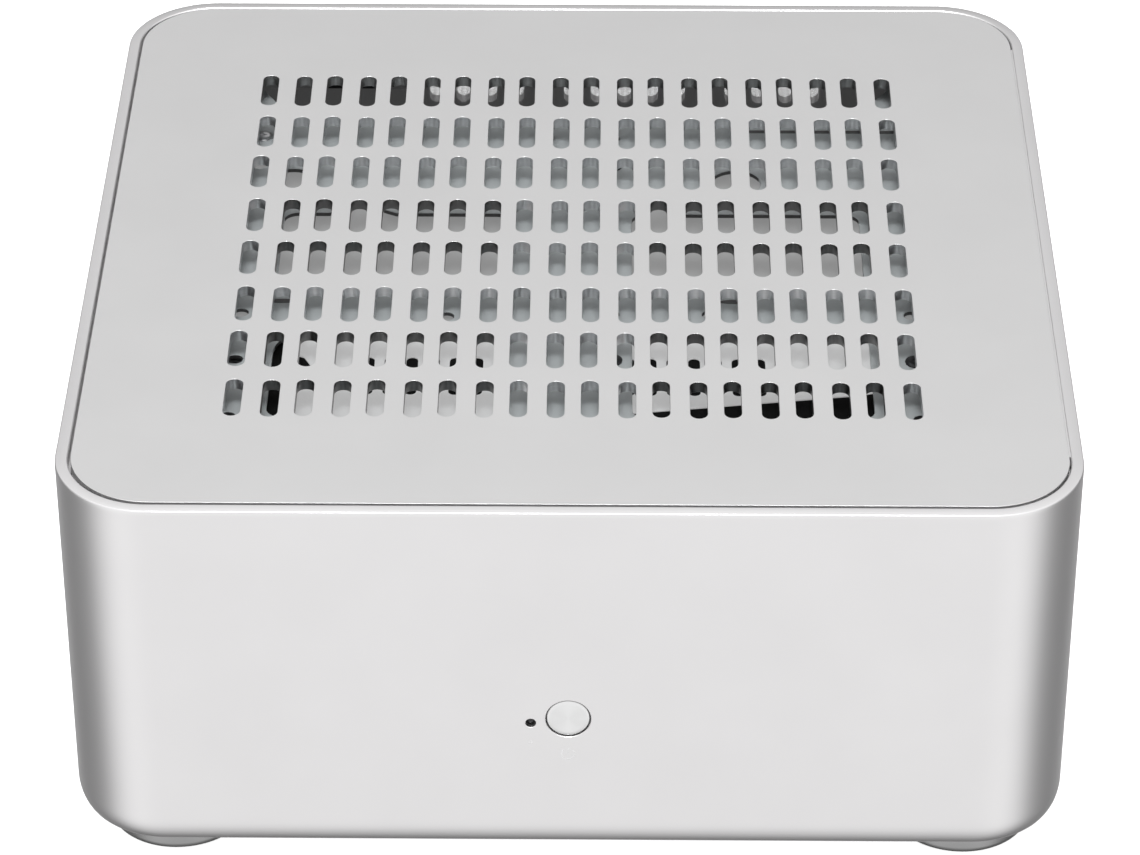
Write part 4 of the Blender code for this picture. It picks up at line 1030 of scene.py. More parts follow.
def build_components():
    """Chips, capacitors, coils, headers and small parts on the free areas of the board."""
    areas = blocked_areas()
    shape = bmesh.new()
    plastic, metal, tan, gold = 0, 1, 2, 3

    def claim(x, y, half_x, half_y):
        area = (x - half_x, x + half_x, y - half_y, y + half_y)
        if not is_free(areas, *area):
            return False
        areas.append(area)
        return True

    def chip(x, y, size_x, size_y, height):
        if not claim(x, y, size_x / 2 + 0.9, size_y / 2 + 0.9):
            return
        low = BOARD_TOP + 0.1
        add_box(shape, (x - size_x / 2, x + size_x / 2), (y - size_y / 2, y + size_y / 2), (low, low + height), 0.12)
        legs = int(size_y / 0.8)
        for i in range(legs):
            leg = y + (i - (legs - 1) / 2) * 0.8
            for side in (-1, 1):
                edge = x + side * size_x / 2
                add_box(shape, sorted((edge, edge + side * 0.7)), (leg - 0.17, leg + 0.17),
                        (BOARD_TOP, BOARD_TOP + 0.35), index=metal)

    def capacitor(x, y, radius, height):
        if claim(x, y, radius + 0.4, radius + 0.4):
            low = BOARD_TOP + 0.05
            add_box(shape, (x - radius, x + radius), (y - radius, y + radius), (low, low + 0.9), 0.2)
            profile = [(0, 0.9), (radius * 0.93, 0.9), (radius * 0.93, height - 0.3), (radius * 0.85, height), (0, height)]
            add_turned(shape, profile, (x, y, low), "Z", 24, metal)

    def coil(x, y, half, height):
        if claim(x, y, half + 0.3, half + 0.3):
            low = BOARD_TOP + 0.05
            add_box(shape, (x - half, x + half), (y - half, y + half), (low, low + height), 0.5, segments=2)
            add_box(shape, (x - half * 0.5, x + half * 0.5), (y - half - 0.25, y + half + 0.25), (low, low + 0.4),
                    index=metal)

    for i in range(4):
        capacitor(47.5, 62 - i * 9, 3.1, 7.5)
        coil(-62 + i * 0.5, 40 - i * 10, 3.4, 3.8)
    for x, y, sx, sy, h in ((7, 84, 6, 7, 0.9), (71, 68, 7, 7, 0.9), (-60, -62, 5, 8, 1.2), (48, -52, 8, 8, 1),
                            (-45, -30, 9, 9, 1), (73, -20, 5, 6, 1), (73, 10, 5, 6, 1), (-40, 70, 6, 6, 0.9),
                            (72, 40, 6, 5, 0.9), (-56, -40, 4, 4, 0.8), (12, -20, 6, 6, 0.8)):
        chip(x, y, sx, sy, h)
    for x, y, columns in ((-45, -71, 5), (12, -71, 5), (30, -71, 4), (-62, -71, 4), (76, -50, 2)):
        if claim(x, y, columns * 1.27 + 0.4, 2.9):
            add_box(shape, (x - columns * 1.27, x + columns * 1.27), (y - 2.54, y + 2.54),
                    (BOARD_TOP + 0.05, BOARD_TOP + 2.5), 0.15)
            for i in range(columns):
                for j in (-0.5, 0.5):
                    px, py = x + (i - (columns - 1) / 2) * 2.54, y + j * 2.54
                    add_box(shape, (px - 0.3, px + 0.3), (py - 0.3, py + 0.3),
                            (BOARD_TOP + 2.4, BOARD_TOP + 8.3), 0.1, gold)
    for x, y in ((-48, -48), (25, -74), (68, 82)):
        if claim(x, y, 5.6, 2.4):
            add_turned(shape, [(0, 0), (2.2, 0), (2.2, 3.2), (1.9, 3.5), (0, 3.5)], (x - 2.8, y, BOARD_TOP + 0.1), "Z", 20, metal)
            add_turned(shape, [(0, 0), (2.2, 0), (2.2, 3.2), (1.9, 3.5), (0, 3.5)], (x + 2.8, y, BOARD_TOP + 0.1), "Z", 20, metal)
    for _ in range(900):
        x, y = random.uniform(-83, 83), random.uniform(-75, 92)
        size = random.choice(((1.0, 0.5), (1.6, 0.8), (2.0, 1.2), (0.5, 1.0), (0.8, 1.6)))
        if not claim(x, y, size[0] / 2 + 0.15, size[1] / 2 + 0.15):
            continue
        height = min(size) * 0.8
        body = random.choice((plastic, tan, tan))
        long_x = size[0] > size[1]
        hx, hy = size[0] / 2, size[1] / 2
        inner_x, inner_y = (hx * 0.6, hy) if long_x else (hx, hy * 0.6)
        add_box(shape, (x - inner_x, x + inner_x), (y - inner_y, y + inner_y),
                (BOARD_TOP + 0.02, BOARD_TOP + 0.02 + height), index=body)
        for side in (-1, 1):
            if long_x:
                add_box(shape, sorted((x + side * hx * 0.6, x + side * hx)), (y - hy, y + hy),
                        (BOARD_TOP, BOARD_TOP + 0.03 + height), index=metal)
            else:
                add_box(shape, (x - hx, x + hx), sorted((y + side * hy * 0.6, y + side * hy)),
                        (BOARD_TOP, BOARD_TOP + 0.03 + height), index=metal)
    finish_piece(object_of("board_components", shape), [CERAMIC, TIN, TAN, GOLD])


def build_processor():
    low, high = span("cpu_socket")
    x, y = (low.x + high.x) / 2, (low.y + high.y) / 2
    shape = bmesh.new()
    frame_shape = plate_shape([rectangle(low.x, high.x, low.y, high.y, 1.2), rectangle(x - 17, x + 17, y - 17, y + 17, 1)],
                              low.z, high.z - 0.6, 0.15)
    add_shape(shape, frame_shape)
    add_box(shape, (x - 17.2, x + 17.2), (y - 17.2, y + 17.2), (low.z, low.z + 2), index=0)
    load_plate = plate_shape([rectangle(x - 20, x + 20, y - 22, y + 22, 2), rectangle(x - 16.4, x + 16.4, y - 16.4, y + 16.4, 2)],
                             high.z - 0.6, high.z, 0.1)
    add_shape(shape, load_plate, 1)
    add_cylinder(shape, (x + 20.3, y - 22, high.z - 0.9), 0.6, 42, axis="Y", sides=16, index=1)
    for sx in (-1, 1):
        add_cylinder(shape, (x + sx * 15, y - 20, high.z - 0.4), 1.6, 0.38, 0.1, index=1)
    for i in range(26):
        for j in range(26):
            px, py = x + (i - 12.5) * 1.2, y + (j - 12.5) * 1.2
            add_box(shape, (px - 0.25, px + 0.25), (py - 0.25, py + 0.25), (low.z + 1.95, low.z + 2.5), index=2)
    finish_piece(object_of("processor_socket", shape), [BLACK, STEEL, GOLD], nodes=["cpu_socket"])
    low, high = span("processor")
    x, y = (low.x + high.x) / 2, (low.y + high.y) / 2
    shape = bmesh.new()
    add_box(shape, (low.x, high.x), (low.y, high.y), (low.z, low.z + 1.1), 0.08)
    add_box(shape, (x - 15.5, x + 15.5), (y - 15.5, y + 15.5), (low.z + 1.05, low.z + 1.9), 0.3, 1, 2)
    add_box(shape, (x - 13.6, x + 13.6), (y - 13.6, y + 13.6), (low.z + 1.8, high.z), 0.35, 1, 2)
    finish_piece(object_of("processor_package", shape), [PCB, STEEL], nodes=["processor"])


def build_heatsinks():
    low, high = span("heatsink")
    shape = bmesh.new()
    base, fin, count = 4.5, 1.1, 17
    add_box(shape, (low.x, high.x), (low.y, high.y), (low.z, low.z + base), 0.25, 0, 2)
    pitch = (high.x - low.x - fin) / (count - 1)
    for i in range(count):
        x = low.x + i * pitch
        add_box(shape, (x, x + fin), (low.y, high.y), (low.z + base - 0.1, high.z), 0.2)
    finish_piece(object_of("processor_heatsink", shape), HEATSINK, nodes=["heatsink"])
    low, high = span("chipset_heatsink")
    shape = bmesh.new()
    add_box(shape, (low.x, high.x), (low.y, high.y), (low.z, low.z + 3), 0.25, 0, 2)
    pitch = (high.x - low.x - 1.4) / 5
    for i in range(6):
        x = low.x + i * pitch
        for j in range(4):
            y = low.y + j * 7.6
            add_box(shape, (x, x + 1.4), (y, y + 7.2), (low.z + 2.9, high.z), 0.25)
    finish_piece(object_of("chipset_cooler", shape), HEATSINK, nodes=["chipset_heatsink"])


def build_fan():
    low, high = FAN_LOW, FAN_HIGH
    x, y = FAN_X, FAN_Y
    duct, screw = 43.2, 41.25
    holes = [circle(x + sx * screw, y + sy * screw, 2.1, 24) for _, sx, sy in CORNERS]
    outline = rectangle(low.x, high.x, low.y, high.y, 4, 8)
    shape = bmesh.new()
    for z0, z1 in ((low.z, low.z + 3.4), (high.z - 3.4, high.z)):
        add_shape(shape, plate_shape([outline, circle(x, y, duct, 96)] + holes, z0, z1, 0.25))
    add_shape(shape, plate_shape([circle(x, y, 45.7, 96), circle(x, y, duct, 96)], low.z + 3.3, high.z - 3.3))
    for _, sx, sy in CORNERS:
        place = (x + sx * screw, y + sy * screw, 0)
        post = [(2.1, low.z + 3.3), (3.7, low.z + 3.3), (3.7, high.z - 3.3), (2.1, high.z - 3.3)]
        add_turned(shape, post, place, "Z", 24)
    add_cylinder(shape, (x, y, low.z + 0.1), 18.5, 2.7, 0.3, sides=64)
    strut_low, strut_high = low.z + 0.2, low.z + 2.2
    for angle in (45, 135, 225, 315):
        strut = bmesh.new()
        add_box(strut, (17.5, duct + 0.8), (-1.5, 1.5), (strut_low, strut_high), 0.4, 0, 2)
        strut.transform(Matrix.Translation((x, y, 0)) @ Matrix.Rotation(math.radians(angle - 45), 4, "Z"))
        add_shape(shape, strut)
    finish_piece(object_of("fan_housing", shape), BLACK, nodes=["fan_frame"])
    build_rotor()


def build_rotor():
    """Hub and seven swept blades, twisted and cambered."""
    low, high = span("fan_rotor")
    x, y = FAN_X, FAN_Y
    hub, tip, blades = 18.0, 41.5, 7
    shape = bmesh.new()
    profile = [(0, low.z), (hub, low.z), (hub, high.z - 1.5), (hub - 0.4, high.z - 0.5), (hub - 1.5, high.z),
               (11.2, high.z), (11, high.z - 0.15), (0, high.z - 0.15)]
    add_turned(shape, profile, (x, y, 0), "Z", 72)
    stations, chord_steps, thick = 10, 12, 0.55
    for blade in range(blades):
        start = 2 * math.pi * blade / blades
        upper, lower = [], []
        for s in range(stations + 1):
            share = s / stations
            radius = hub - 0.6 + (tip - hub + 0.6) * share
            swept = math.radians(16) * share ** 1.6
            width = math.radians(47 - 6 * share)
            rise = (high.z - low.z - 2.2) * (1 - 0.25 * share)
            middle = (high.z + low.z) / 2
            edge_up, edge_low = [], []
            for c in range(chord_steps + 1):
                u = c / chord_steps
                angle = start + swept + (u - 0.5) * width
                z = middle + (u - 0.5) * rise + 1.1 * math.sin(math.pi * u) * (1 - 0.4 * share)
                half = thick * (0.25 + 0.75 * math.sin(math.pi * min(u + 0.08, 1)) ** 0.6)
                px, py = x + radius * math.cos(angle), y + radius * math.sin(angle)
                edge_up.append(shape.verts.new((px, py, z + half)))
                edge_low.append(shape.verts.new((px, py, z - half)))
            upper.append(edge_up)
            lower.append(edge_low)
        faces = []
        for s in range(stations):
            for c in range(chord_steps):
                faces.append((upper[s][c], upper[s + 1][c], upper[s + 1][c + 1], upper[s][c + 1]))
                faces.append((lower[s][c], lower[s][c + 1], lower[s + 1][c + 1], lower[s + 1][c]))
            for c in (0, chord_steps):
                faces.append((upper[s][c], lower[s][c], lower[s + 1][c], upper[s + 1][c]))
        for c in range(chord_steps):
            for s in (0, stations):
                faces.append((upper[s][c], upper[s][c + 1], lower[s][c + 1], lower[s][c]))
        made = [shape.faces.new(corners) for corners in faces]
        bmesh.ops.recalc_face_normals(shape, faces=made)
    finish_piece(object_of("fan_blades", shape), BLACK, "rotor", ["fan_rotor"])


def build_memory():
    low, high = span("memory_slot")
    middle = (low.x + high.x) / 2
    shape = bmesh.new()
    wall = (2.6, middle - 1.2, middle + 1.2)
    add_box(shape, (low.x, high.x), (low.y, high.y), (low.z, low.z + 2.5), 0.2)
    for x0, x1 in ((low.x, wall[1]), (wall[2], high.x)):
        add_box(shape, (x0, x1), (low.y, high.y), (low.z + 2.4, high.z), 0.25)
    for y0, y1 in ((low.y, low.y + 4), (high.y - 4, high.y)):
        add_box(shape, (wall[1] - 0.1, wall[2] + 0.1), (y0, y1), (low.z + 2.4, high.z), 0.2)
        add_box(shape, (middle - 2.4, middle + 2.4), (y0 + 0.6, y1 - 0.6), (high.z - 0.1, high.z + 3), 0.4, 1, 2)
    for i in range(60):
        y = low.y + 7 + i * 2.15
        for x0, x1 in ((wall[1] - 0.05, wall[1] + 0.12), (wall[2] - 0.12, wall[2] + 0.05)):
            add_box(shape, (x0, x1), (y - 0.2, y + 0.2), (low.z + 2.6, high.z - 1), index=2)
    finish_piece(object_of("memory_socket", shape), [BLACK, GREY_PLASTIC, GOLD], nodes=["memory_slot"])
    low, high = span("memory_module")
    card = (low.x, low.x + 1.2)
    shape = bmesh.new()
    add_box(shape, card, (low.y, high.y), (low.z, high.z), 0.08)
    for i in range(8):
        y = -58.7 + i * 16 + (2.5 if i > 3 else 0)
        add_box(shape, (card[1] - 0.05, high.x), (y - 5, y + 5), (low.z + 12, low.z + 23), 0.12, 1)
    for i in range(64):
        y = low.y + 3 + i * 2.02
        add_box(shape, (card[1] - 0.02, card[1] + 0.04), (y - 0.7, y + 0.7), (low.z + 0.4, low.z + 3), index=2)
        if i % 2:
            add_box(shape, (card[1] - 0.02, card[1] + 0.35), (y - 0.4, y + 0.4), (low.z + 8, low.z + 9), index=3)
    finish_piece(object_of("memory_card", shape), [PCB, CERAMIC, GOLD, TAN], nodes=["memory_module"])


def build_battery():
    low, high = span("board_battery")
    x, y = (low.x + high.x) / 2, (low.y + high.y) / 2
    shape = bmesh.new()
    add_turned(shape, [(0, low.z + 0.5), (9.5, low.z + 0.5), (9.6, high.z - 0.6), (9.3, high.z - 0.2), (8.6, high.z),
                       (0, high.z)], (x, y, 0), "Z", 64)
    add_turned(shape, [(9.75, low.z), (10, low.z + 0.2), (10, low.z + 2.4), (9.75, low.z + 2.5), (9.75, low.z + 2.4)],
               (x, y, 0), "Z", 64, 1)
    add_cylinder(shape, (x, y, low.z), 9.9, 0.45, 0.1, sides=64, index=1)
    add_box(shape, (x - 2, x + 2), (y + 6.5, y + 9.9), (high.z - 0.35, high.z - 0.02), 0.05, 0)
    finish_piece(object_of("coin_cell", shape), [STEEL, BLACK], nodes=["board_battery"])


def build_power():
    """The 24-way connector, the upright DC converter in it and the inlet at the back."""
    low, high = span("power_connector")
    shape = bmesh.new()
    add_box(shape, (low.x, high.x), (low.y, high.y), (low.z, low.z + 4), 0.3)
    outlines = [rectangle(low.x, high.x, low.y, high.y, 0.4, 3)]
    for i in range(12):
        y = low.y + 2.8 + i * 4.2
        for x in (low.x + 2.7, high.x - 2.7):
            outlines.append(rectangle(x - 1.7, x + 1.7, y - 1.6, y + 1.6, 0.5, 3))
    add_shape(shape, plate_shape(outlines, low.z + 3.9, high.z, 0.1))
    for i in range(12):
        y = low.y + 2.8 + i * 4.2
        for x in (low.x + 2.7, high.x - 2.7):
            add_box(shape, (x - 0.5, x + 0.5), (y - 0.5, y + 0.5), (low.z + 3.9, high.z - 2), 0.1, 1)
    finish_piece(object_of("power_socket", shape), [BLACK, TIN], nodes=["power_connector"])
    build_converter()
    build_inlet()


def build_converter():
    low, high = span("dc_power_board")
    bottom = low.z
    shape = bmesh.new()
    face = -73.2
    add_box(shape, (-74.8, face), (-56, -4.4), (bottom, high.z), 0.08)
    add_box(shape, (-78.8, -69.2), (-55.6, -4.8), (bottom + 0.1, bottom + 5), 0.4, 1)
    for y, size, height in ((-47, 10, 5.5), (-32, 10, 5.5), (-17, 8, 4)):
        half = size / 2
        add_box(shape, (face - 0.05, face + height), (y - half, y + half), (bottom + 10, bottom + 10 + size), 0.8, 2, 2)
        add_box(shape, (face - 0.05, face + 0.5), (y - half - 0.3, y + half + 0.3),
                (bottom + 10 + half - 1.5, bottom + 10 + half + 1.5), 0.05, 3)
    for y in (-54, -39.5, -24.5):
        for z in (bottom + 12, bottom + 17):
            add_box(shape, (face - 0.02, face + 1), (y - 1.6, y + 1.6), (z - 1.8, z + 1.8), 0.1, 1)
    for i in range(14):
        y = -54 + i * 3.3
        add_box(shape, (face - 0.02, face + 0.5), (y - 0.8, y + 0.8), (bottom + 23, bottom + 23.8), 0.03, 4)
    header_z = bottom + 20
    add_box(shape, (-77, -71), (-10, low.y + 53), (header_z - 4, header_z + 4), 0.3, 5)
    add_box(shape, (-76.3, -71.7), (low.y + 51, low.y + 53.02), (header_z - 3.3, header_z + 3.3), 0.2, 1)
    finish_piece(object_of("dc_converter", shape), [PCB_DARK, BLACK, GREY_PLASTIC, TIN, TAN, WHITE],
                 nodes=["dc_power_board"])


def build_inlet():
    low, high = JACK_LOW, JACK_HIGH
    x, z = INLET_X, INLET_Z
    body_back = INNER - 0.3
    shape = bmesh.new()
    add_box(shape, (low.x, high.x), (low.y, body_back - 8), (low.z, high.z), 0.4)
    collar = plate_shape([rectangle(low.x, high.x, low.z, high.z, 0.5, 3), circle(x, z, 2.75, 40)],
                         body_back - 8.1, body_back, 0.1, upright=True)
    add_shape(shape, collar)
    barrel = [(2.75, body_back - 0.2), (3.6, body_back - 0.2), (3.6, high.y - 0.3), (3.4, high.y), (3.0, high.y),
              (2.75, high.y - 0.3)]
    add_turned(shape, barrel, (x, 0, z), "Y", 48)
    sleeve = [(2.5, body_back - 8), (2.74, body_back - 8), (2.74, high.y - 1.2), (2.5, high.y - 1.2)]
    add_turned(shape, sleeve, (x, 0, z), "Y", 40, 1)
    pin = [(0, body_back - 8.2), (1.05, body_back - 8.2), (1.05, high.y - 1.7), (0.6, high.y - 1.25), (0, high.y - 1.2)]
    add_turned(shape, pin, (x, 0, z), "Y", 32, 1)
    finish_piece(object_of("dc_inlet", shape), [BLACK, STEEL], nodes=["dc_jack"])


# ---- Rear connectors -----------------------------------------------------------------------

PORTS = ("usb_ports", "video_ports", "network_usb_ports", "audio_jacks")


def build_shield():
    outlines = [rectangle(SHIELD_LOW.x, SHIELD_HIGH.x, SHIELD_LOW.z, SHIELD_HIGH.z, 2, 4)]
    rims = bmesh.new()
    for node in PORTS:
        low, high = span(node)
        hole = (low.x - 0.3, high.x + 0.3, BOARD_TOP, high.z + 0.3)
        outlines.append(rectangle(*hole))
        rim = [rectangle(hole[0] - 1.2, hole[1] + 1.2, hole[2] - 1.2, hole[3] + 1.2, 1, 4),
               rectangle(hole[0] - 0.02, hole[1] + 0.02, hole[2] - 0.02, hole[3] + 0.02)]
        add_shape(rims, plate_shape(rim, SHIELD_HIGH.y - 0.1, SHIELD_HIGH.y + 0.25, 0.1, upright=True))
    for x_start, columns in ((2.4, 5), (65.4, 4)):
        for i in range(columns):
            for j in range(10):
                outlines.append(circle(x_start + i * 3.4, 24 + j * 3.8, 1.0, 12))
    shield = plate_shape(outlines, SHIELD_LOW.y, SHIELD_HIGH.y, 0.05, upright=True)
    add_shape(rims, shield)
    half_width, middle, half_height = 78.6, (SHIELD_LOW.z + SHIELD_HIGH.z) / 2, 21.4
    ridge = [rectangle(-half_width, half_width, middle - half_height, middle + half_height, 1, 4),
             rectangle(1 - half_width, half_width - 1, middle + 1 - half_height, middle - 1 + half_height, 0.6, 4)]
    add_shape(rims, plate_shape(ridge, SHIELD_HIGH.y - 0.1, SHIELD_HIGH.y + 0.5, 0.15, upright=True))
    finish_piece(object_of("connector_shield", rims), TIN, nodes=["io_shield"])


def port_block(shape, low, high, sockets, depth=10):
    """A metal can whose back face, at high Y, holds the given socket outlines."""
    add_box(shape, (low.x, high.x), (low.y, high.y - depth), (low.z, high.z), 0.15)
    outline = rectangle(low.x, high.x, low.z, high.z, 0.3, 2)
    add_shape(shape, plate_shape([outline] + sockets, high.y - depth - 0.05, high.y, 0.1, upright=True))


def add_usb(shape, x, z, back, height):
    """Tongue and contacts of a USB socket centred at X and Z."""
    add_box(shape, (x - 5.6, x + 5.6), (back - 9.9, back - 1.2), (z + 0.1, z + 1.6), 0.15, 1)
    for i in range(4):
        contact = x + (i - 1.5) * 2.3
        add_box(shape, (contact - 0.5, contact + 0.5), (back - 9.5, back - 1.8), (z - 0.02, z + 0.14), 0.03, 2)
    for side in (-1, 1):
        for tab in (-3.6, 3.6):
            add_box(shape, (x + tab - 0.9, x + tab + 0.9), (back - 5, back - 1),
                    sorted((z + side * height / 2, z + side * (height / 2 - 0.35))), 0.08, 3)


def build_ports():
    low, high = span("usb_ports")
    x, back = (low.x + high.x) / 2, high.y
    levels = (low.z + 4.0, low.z + 11.9)
    shape = bmesh.new()
    port_block(shape, low, high, [rectangle(x - 6.25, x + 6.25, z - 2.6, z + 2.6, 0.3, 2) for z in levels])
    for z in levels:
        add_usb(shape, x, z, back, 5.2)
    finish_piece(object_of("usb_pair", shape), [TIN, BLACK, GOLD, STEEL], nodes=["usb_ports"])

    low, high = span("video_ports")
    x, back = (low.x + high.x) / 2, high.y
    lower, upper = low.z + 4.8, low.z + 14.8
    shape = bmesh.new()
    wide = [(x - 5, lower - 2.4), (x + 5, lower - 2.4), (x + 7.05, lower - 0.2), (x + 7.05, lower + 2.4),
            (x - 7.05, lower + 2.4), (x - 7.05, lower - 0.2)]
    keyed = [(x - 8.05, upper - 2.5), (x + 8.05, upper - 2.5), (x + 8.05, upper + 0.6), (x + 6.2, upper + 2.5),
             (x - 8.05, upper + 2.5)]
    port_block(shape, low, high, [wide, keyed])
    for z, half in ((lower, 5.4), (upper, 6.4)):
        add_box(shape, (x - half, x + half), (back - 9.9, back - 1.5), (z - 0.2, z + 0.9), 0.12, 1)
        for i in range(9):
            contact = x + (i - 4) * half / 5
            add_box(shape, (contact - 0.2, contact + 0.2), (back - 9.5, back - 2), (z - 0.28, z - 0.15), index=2)
    finish_piece(object_of("video_pair", shape), [TIN, BLACK, GOLD], nodes=["video_ports"])

    low, high = span("network_usb_ports")
    x, back = (low.x + high.x) / 2, high.y
    levels = (low.z + 3.6, low.z + 10.2)
    plug = low.z + 20.5
    step = [(x - 5.9, plug - 5), (x - 3, plug - 5), (x - 3, plug - 5.9), (x + 3, plug - 5.9), (x + 3, plug - 5),
            (x + 5.9, plug - 5), (x + 5.9, plug + 5), (x - 5.9, plug + 5)]
    shape = bmesh.new()
    port_block(shape, low, high, [rectangle(x - 6.25, x + 6.25, z - 2.5, z + 2.5, 0.3, 2) for z in levels] + [step])
    for z in levels:
        add_usb(shape, x, z, back, 5.0)
    for i in range(8):
        contact = x + (i - 3.5) * 1.02
        add_box(shape, (contact - 0.22, contact + 0.22), (back - 9.8, back - 2.2), (plug + 3.6, plug + 4.1), 0.05, 2)
    add_box(shape, (x - 5.8, x + 5.8), (back - 9.95, back - 9.2), (plug - 4.9, plug + 4.9), index=1)
    for side in (-1, 1):
        lamp = x + side * 5.9
        add_box(shape, (lamp - 1, lamp + 1), (back - 0.4, back + 0.0), (plug + 5.6, plug + 7), 0.1, 4)
    finish_piece(object_of("network_and_usb", shape), [TIN, BLACK, GOLD, STEEL, WHITE],
                 nodes=["network_usb_ports"])

    low, high = span("audio_jacks")
    back, z = high.y, low.z + 5.8
    centres = [low.x + 7.5 + i * 13.5 for i in range(3)]
    shape = bmesh.new()
    outline = rectangle(low.x, high.x, low.z, high.z, 0.5, 3)
    add_box(shape, (low.x, high.x), (low.y, back - 14), (low.z, high.z), 0.2)
    add_shape(shape, plate_shape([outline] + [circle(x, z, 3.1, 32) for x in centres], back - 14.05, back, 0.15, upright=True))
    for index, x in enumerate(centres):
        ring = [(1.8, back - 14), (3.08, back - 14), (3.08, back - 0.4), (2.9, back - 0.15), (2.1, back - 0.15), (1.8, back - 0.4)]
        add_turned(shape, ring, (x, 0, z), "Y", 36, 1 + index)
        add_turned(shape, [(1.55, back - 13.9), (1.79, back - 13.9), (1.79, back - 2), (1.55, back - 2)], (x, 0, z), "Y", 28, 4)
    finish_piece(object_of("audio_triple", shape), [BLACK, JACK_GREEN, JACK_BLUE, JACK_PINK, STEEL],
                 nodes=["audio_jacks"])


# ---- Cables --------------------------------------------------------------------------------

def smooth_route(points, per_span=10):
    """Points on a smooth curve through the given points."""
    route = []
    ends = [points[0]] + list(points) + [points[-1]]
    for i in range(1, len(ends) - 2):
        before, a, b, after = ends[i - 1:i + 3]
        for step in range(per_span):
            t = step / per_span
            route.append(tuple(
                0.5 * (2 * q + (r - p) * t + (2 * p - 5 * q + 4 * r - s) * t * t
                       + (3 * q - p - 3 * r + s) * t ** 3)
                for p, q, r, s in zip(before, a, b, after)
            ))
    route.append(points[-1])
    return route


def add_tube(shape, points, radius, index=0, shift=(0, 0, 0), sides=3):
    """Adds a round tube along the points."""
    curve = bpy.data.curves.new("route", "CURVE")
    curve.dimensions = "3D"
    curve.bevel_depth = radius
    curve.bevel_resolution = sides
    curve.use_fill_caps = True
    spline = curve.splines.new("POLY")
    spline.points.add(len(points) - 1)
    for point, place in zip(spline.points, points):
        point.co = (*(a + b for a, b in zip(place, shift)), 1)
    source = bpy.data.objects.new("route", curve)
    bpy.context.scene.collection.objects.link(source)
    mesh = evaluated_mesh(source)
    bpy.data.objects.remove(source)
    bpy.data.curves.remove(curve)
    tube = bmesh.new()
    tube.from_mesh(mesh)
    bpy.data.meshes.remove(mesh)
    bmesh.ops.remove_doubles(tube, verts=tube.verts, dist=0.0005)
    bmesh.ops.recalc_face_normals(tube, faces=tube.faces)
    add_shape(shape, tube, index)


def build_cables():
    """Jacketed leads with plugs, on the routes that the model gives them."""
    low = BOARD_TOP + 0.3
    drive_low, drive_high = span("drive_right")
    front = drive_low.y - 0.3
    plug_z = (drive_low.z + 0.8, drive_low.z + 5.8)
    z = drive_low.z + 3.3
    route = ((50, front - 12, z), (50, -74, z - 2.5), (47, -81, 66), (43, -83, 52), (41, -79, 40), (40, -72, 33),
             (40, -68, 27))
    data_cable("sata_lead_right", "sata_cable_right", route, ((36.2, 70.7), (front - 14, front), plug_z),
               ((34, 46), (-71, -65), (low, low + 9)))
    back = span("drive_left")[1].y + 0.3
    route = ((-38, back + 12, z), (-38, 84.5, z - 2.5), (-40, 88, 67), (-46, 83.5, 59), (-56, 74, 50), (-62, 64, 40),
             (-64, 58, 31), (-64, 55, 26))
    data_cable("sata_lead_left", "sata_cable_left", route, ((-69, -34.5), (back, back + 14), plug_z),
               ((-70, -58), (52, 58), (low, low + 9)))
    switch_low, _ = span("switch_board")
    start_y = -88 + 2.2
    route = ((-4, start_y, 37), (-4.5, -83, 36.2), (-7, -79, 32), (-9.5, -74.5, 28.5), (-10, -71.5, 25))
    shape = bmesh.new()
    for side in (-0.55, 0.55):
        add_tube(shape, smooth_route(route), 0.55, 0 if side < 0 else 1, (side, 0, 0))
    add_box(shape, (-15, -5), (-74, -69), (low, low + 6), 0.4, 2)
    finish_piece(object_of("front_panel_lead", shape), [SOFT_BLACK, RED, BLACK],
                 nodes=["front_panel_cable"])
    side_x = FAN_HIGH.x + 0.3
    y = FAN_Y
    bottom = FAN_LOW.z
    route = ((side_x + 0.4, y - 30, bottom + 4), (side_x + 3, y - 31, bottom + 2), (side_x + 5.5, y - 34, 44),
             (side_x + 5, y - 40, 34), (side_x + 3.5, y - 46, 25.5))
    shape = bmesh.new()
    for index, shift in enumerate(((-0.5, 0.3, 0), (0.5, 0.3, 0), (0, -0.5, 0))):
        add_tube(shape, smooth_route(route), 0.5, index, shift)
    add_box(shape, (side_x, side_x + 7), (y - 50, y - 43), (low, low + 7), 0.4, 3)
    finish_piece(object_of("fan_lead", shape), [SOFT_BLACK, RED, YELLOW, BLACK], nodes=["fan_cable"])
    header_z = span("dc_power_board")[0].z + 20
    x, z = INLET_X, INLET_Z
    route = ((x, INNER - 12.9, z), (x - 0.5, INNER - 20, z - 0.5), (x - 8, 64, z - 6), (-72, 48, header_z + 6),
             (-74.5, 28, header_z + 1), (-74, 10, header_z), (-74, -2.7, header_z))
    shape = bmesh.new()
    for index, side in enumerate((-0.78, 0.78)):
        add_tube(shape, smooth_route(route), 0.8, index, (side, 0, 0))
    finish_piece(object_of("inlet_lead", shape), [SOFT_BLACK, RED], nodes=["dc_lead"])


def data_cable(name, node, route, drive_plug, board_plug):
    """A flat drive cable, drawn as a bundle of wires side by side, with a plug at each end."""
    shape = bmesh.new()
    for side in (-1.2, -0.4, 0.4, 1.2):
        add_tube(shape, smooth_route(route), 0.5, 0, (side, 0, 0))
    for x, y, z in (drive_plug, board_plug):
        add_box(shape, x, y, z, 0.4, 1, 2)
    finish_piece(object_of(name, shape), [SOFT_BLACK, PLUG], nodes=[node])


# ---- Stage, light and camera ---------------------------------------------------------------

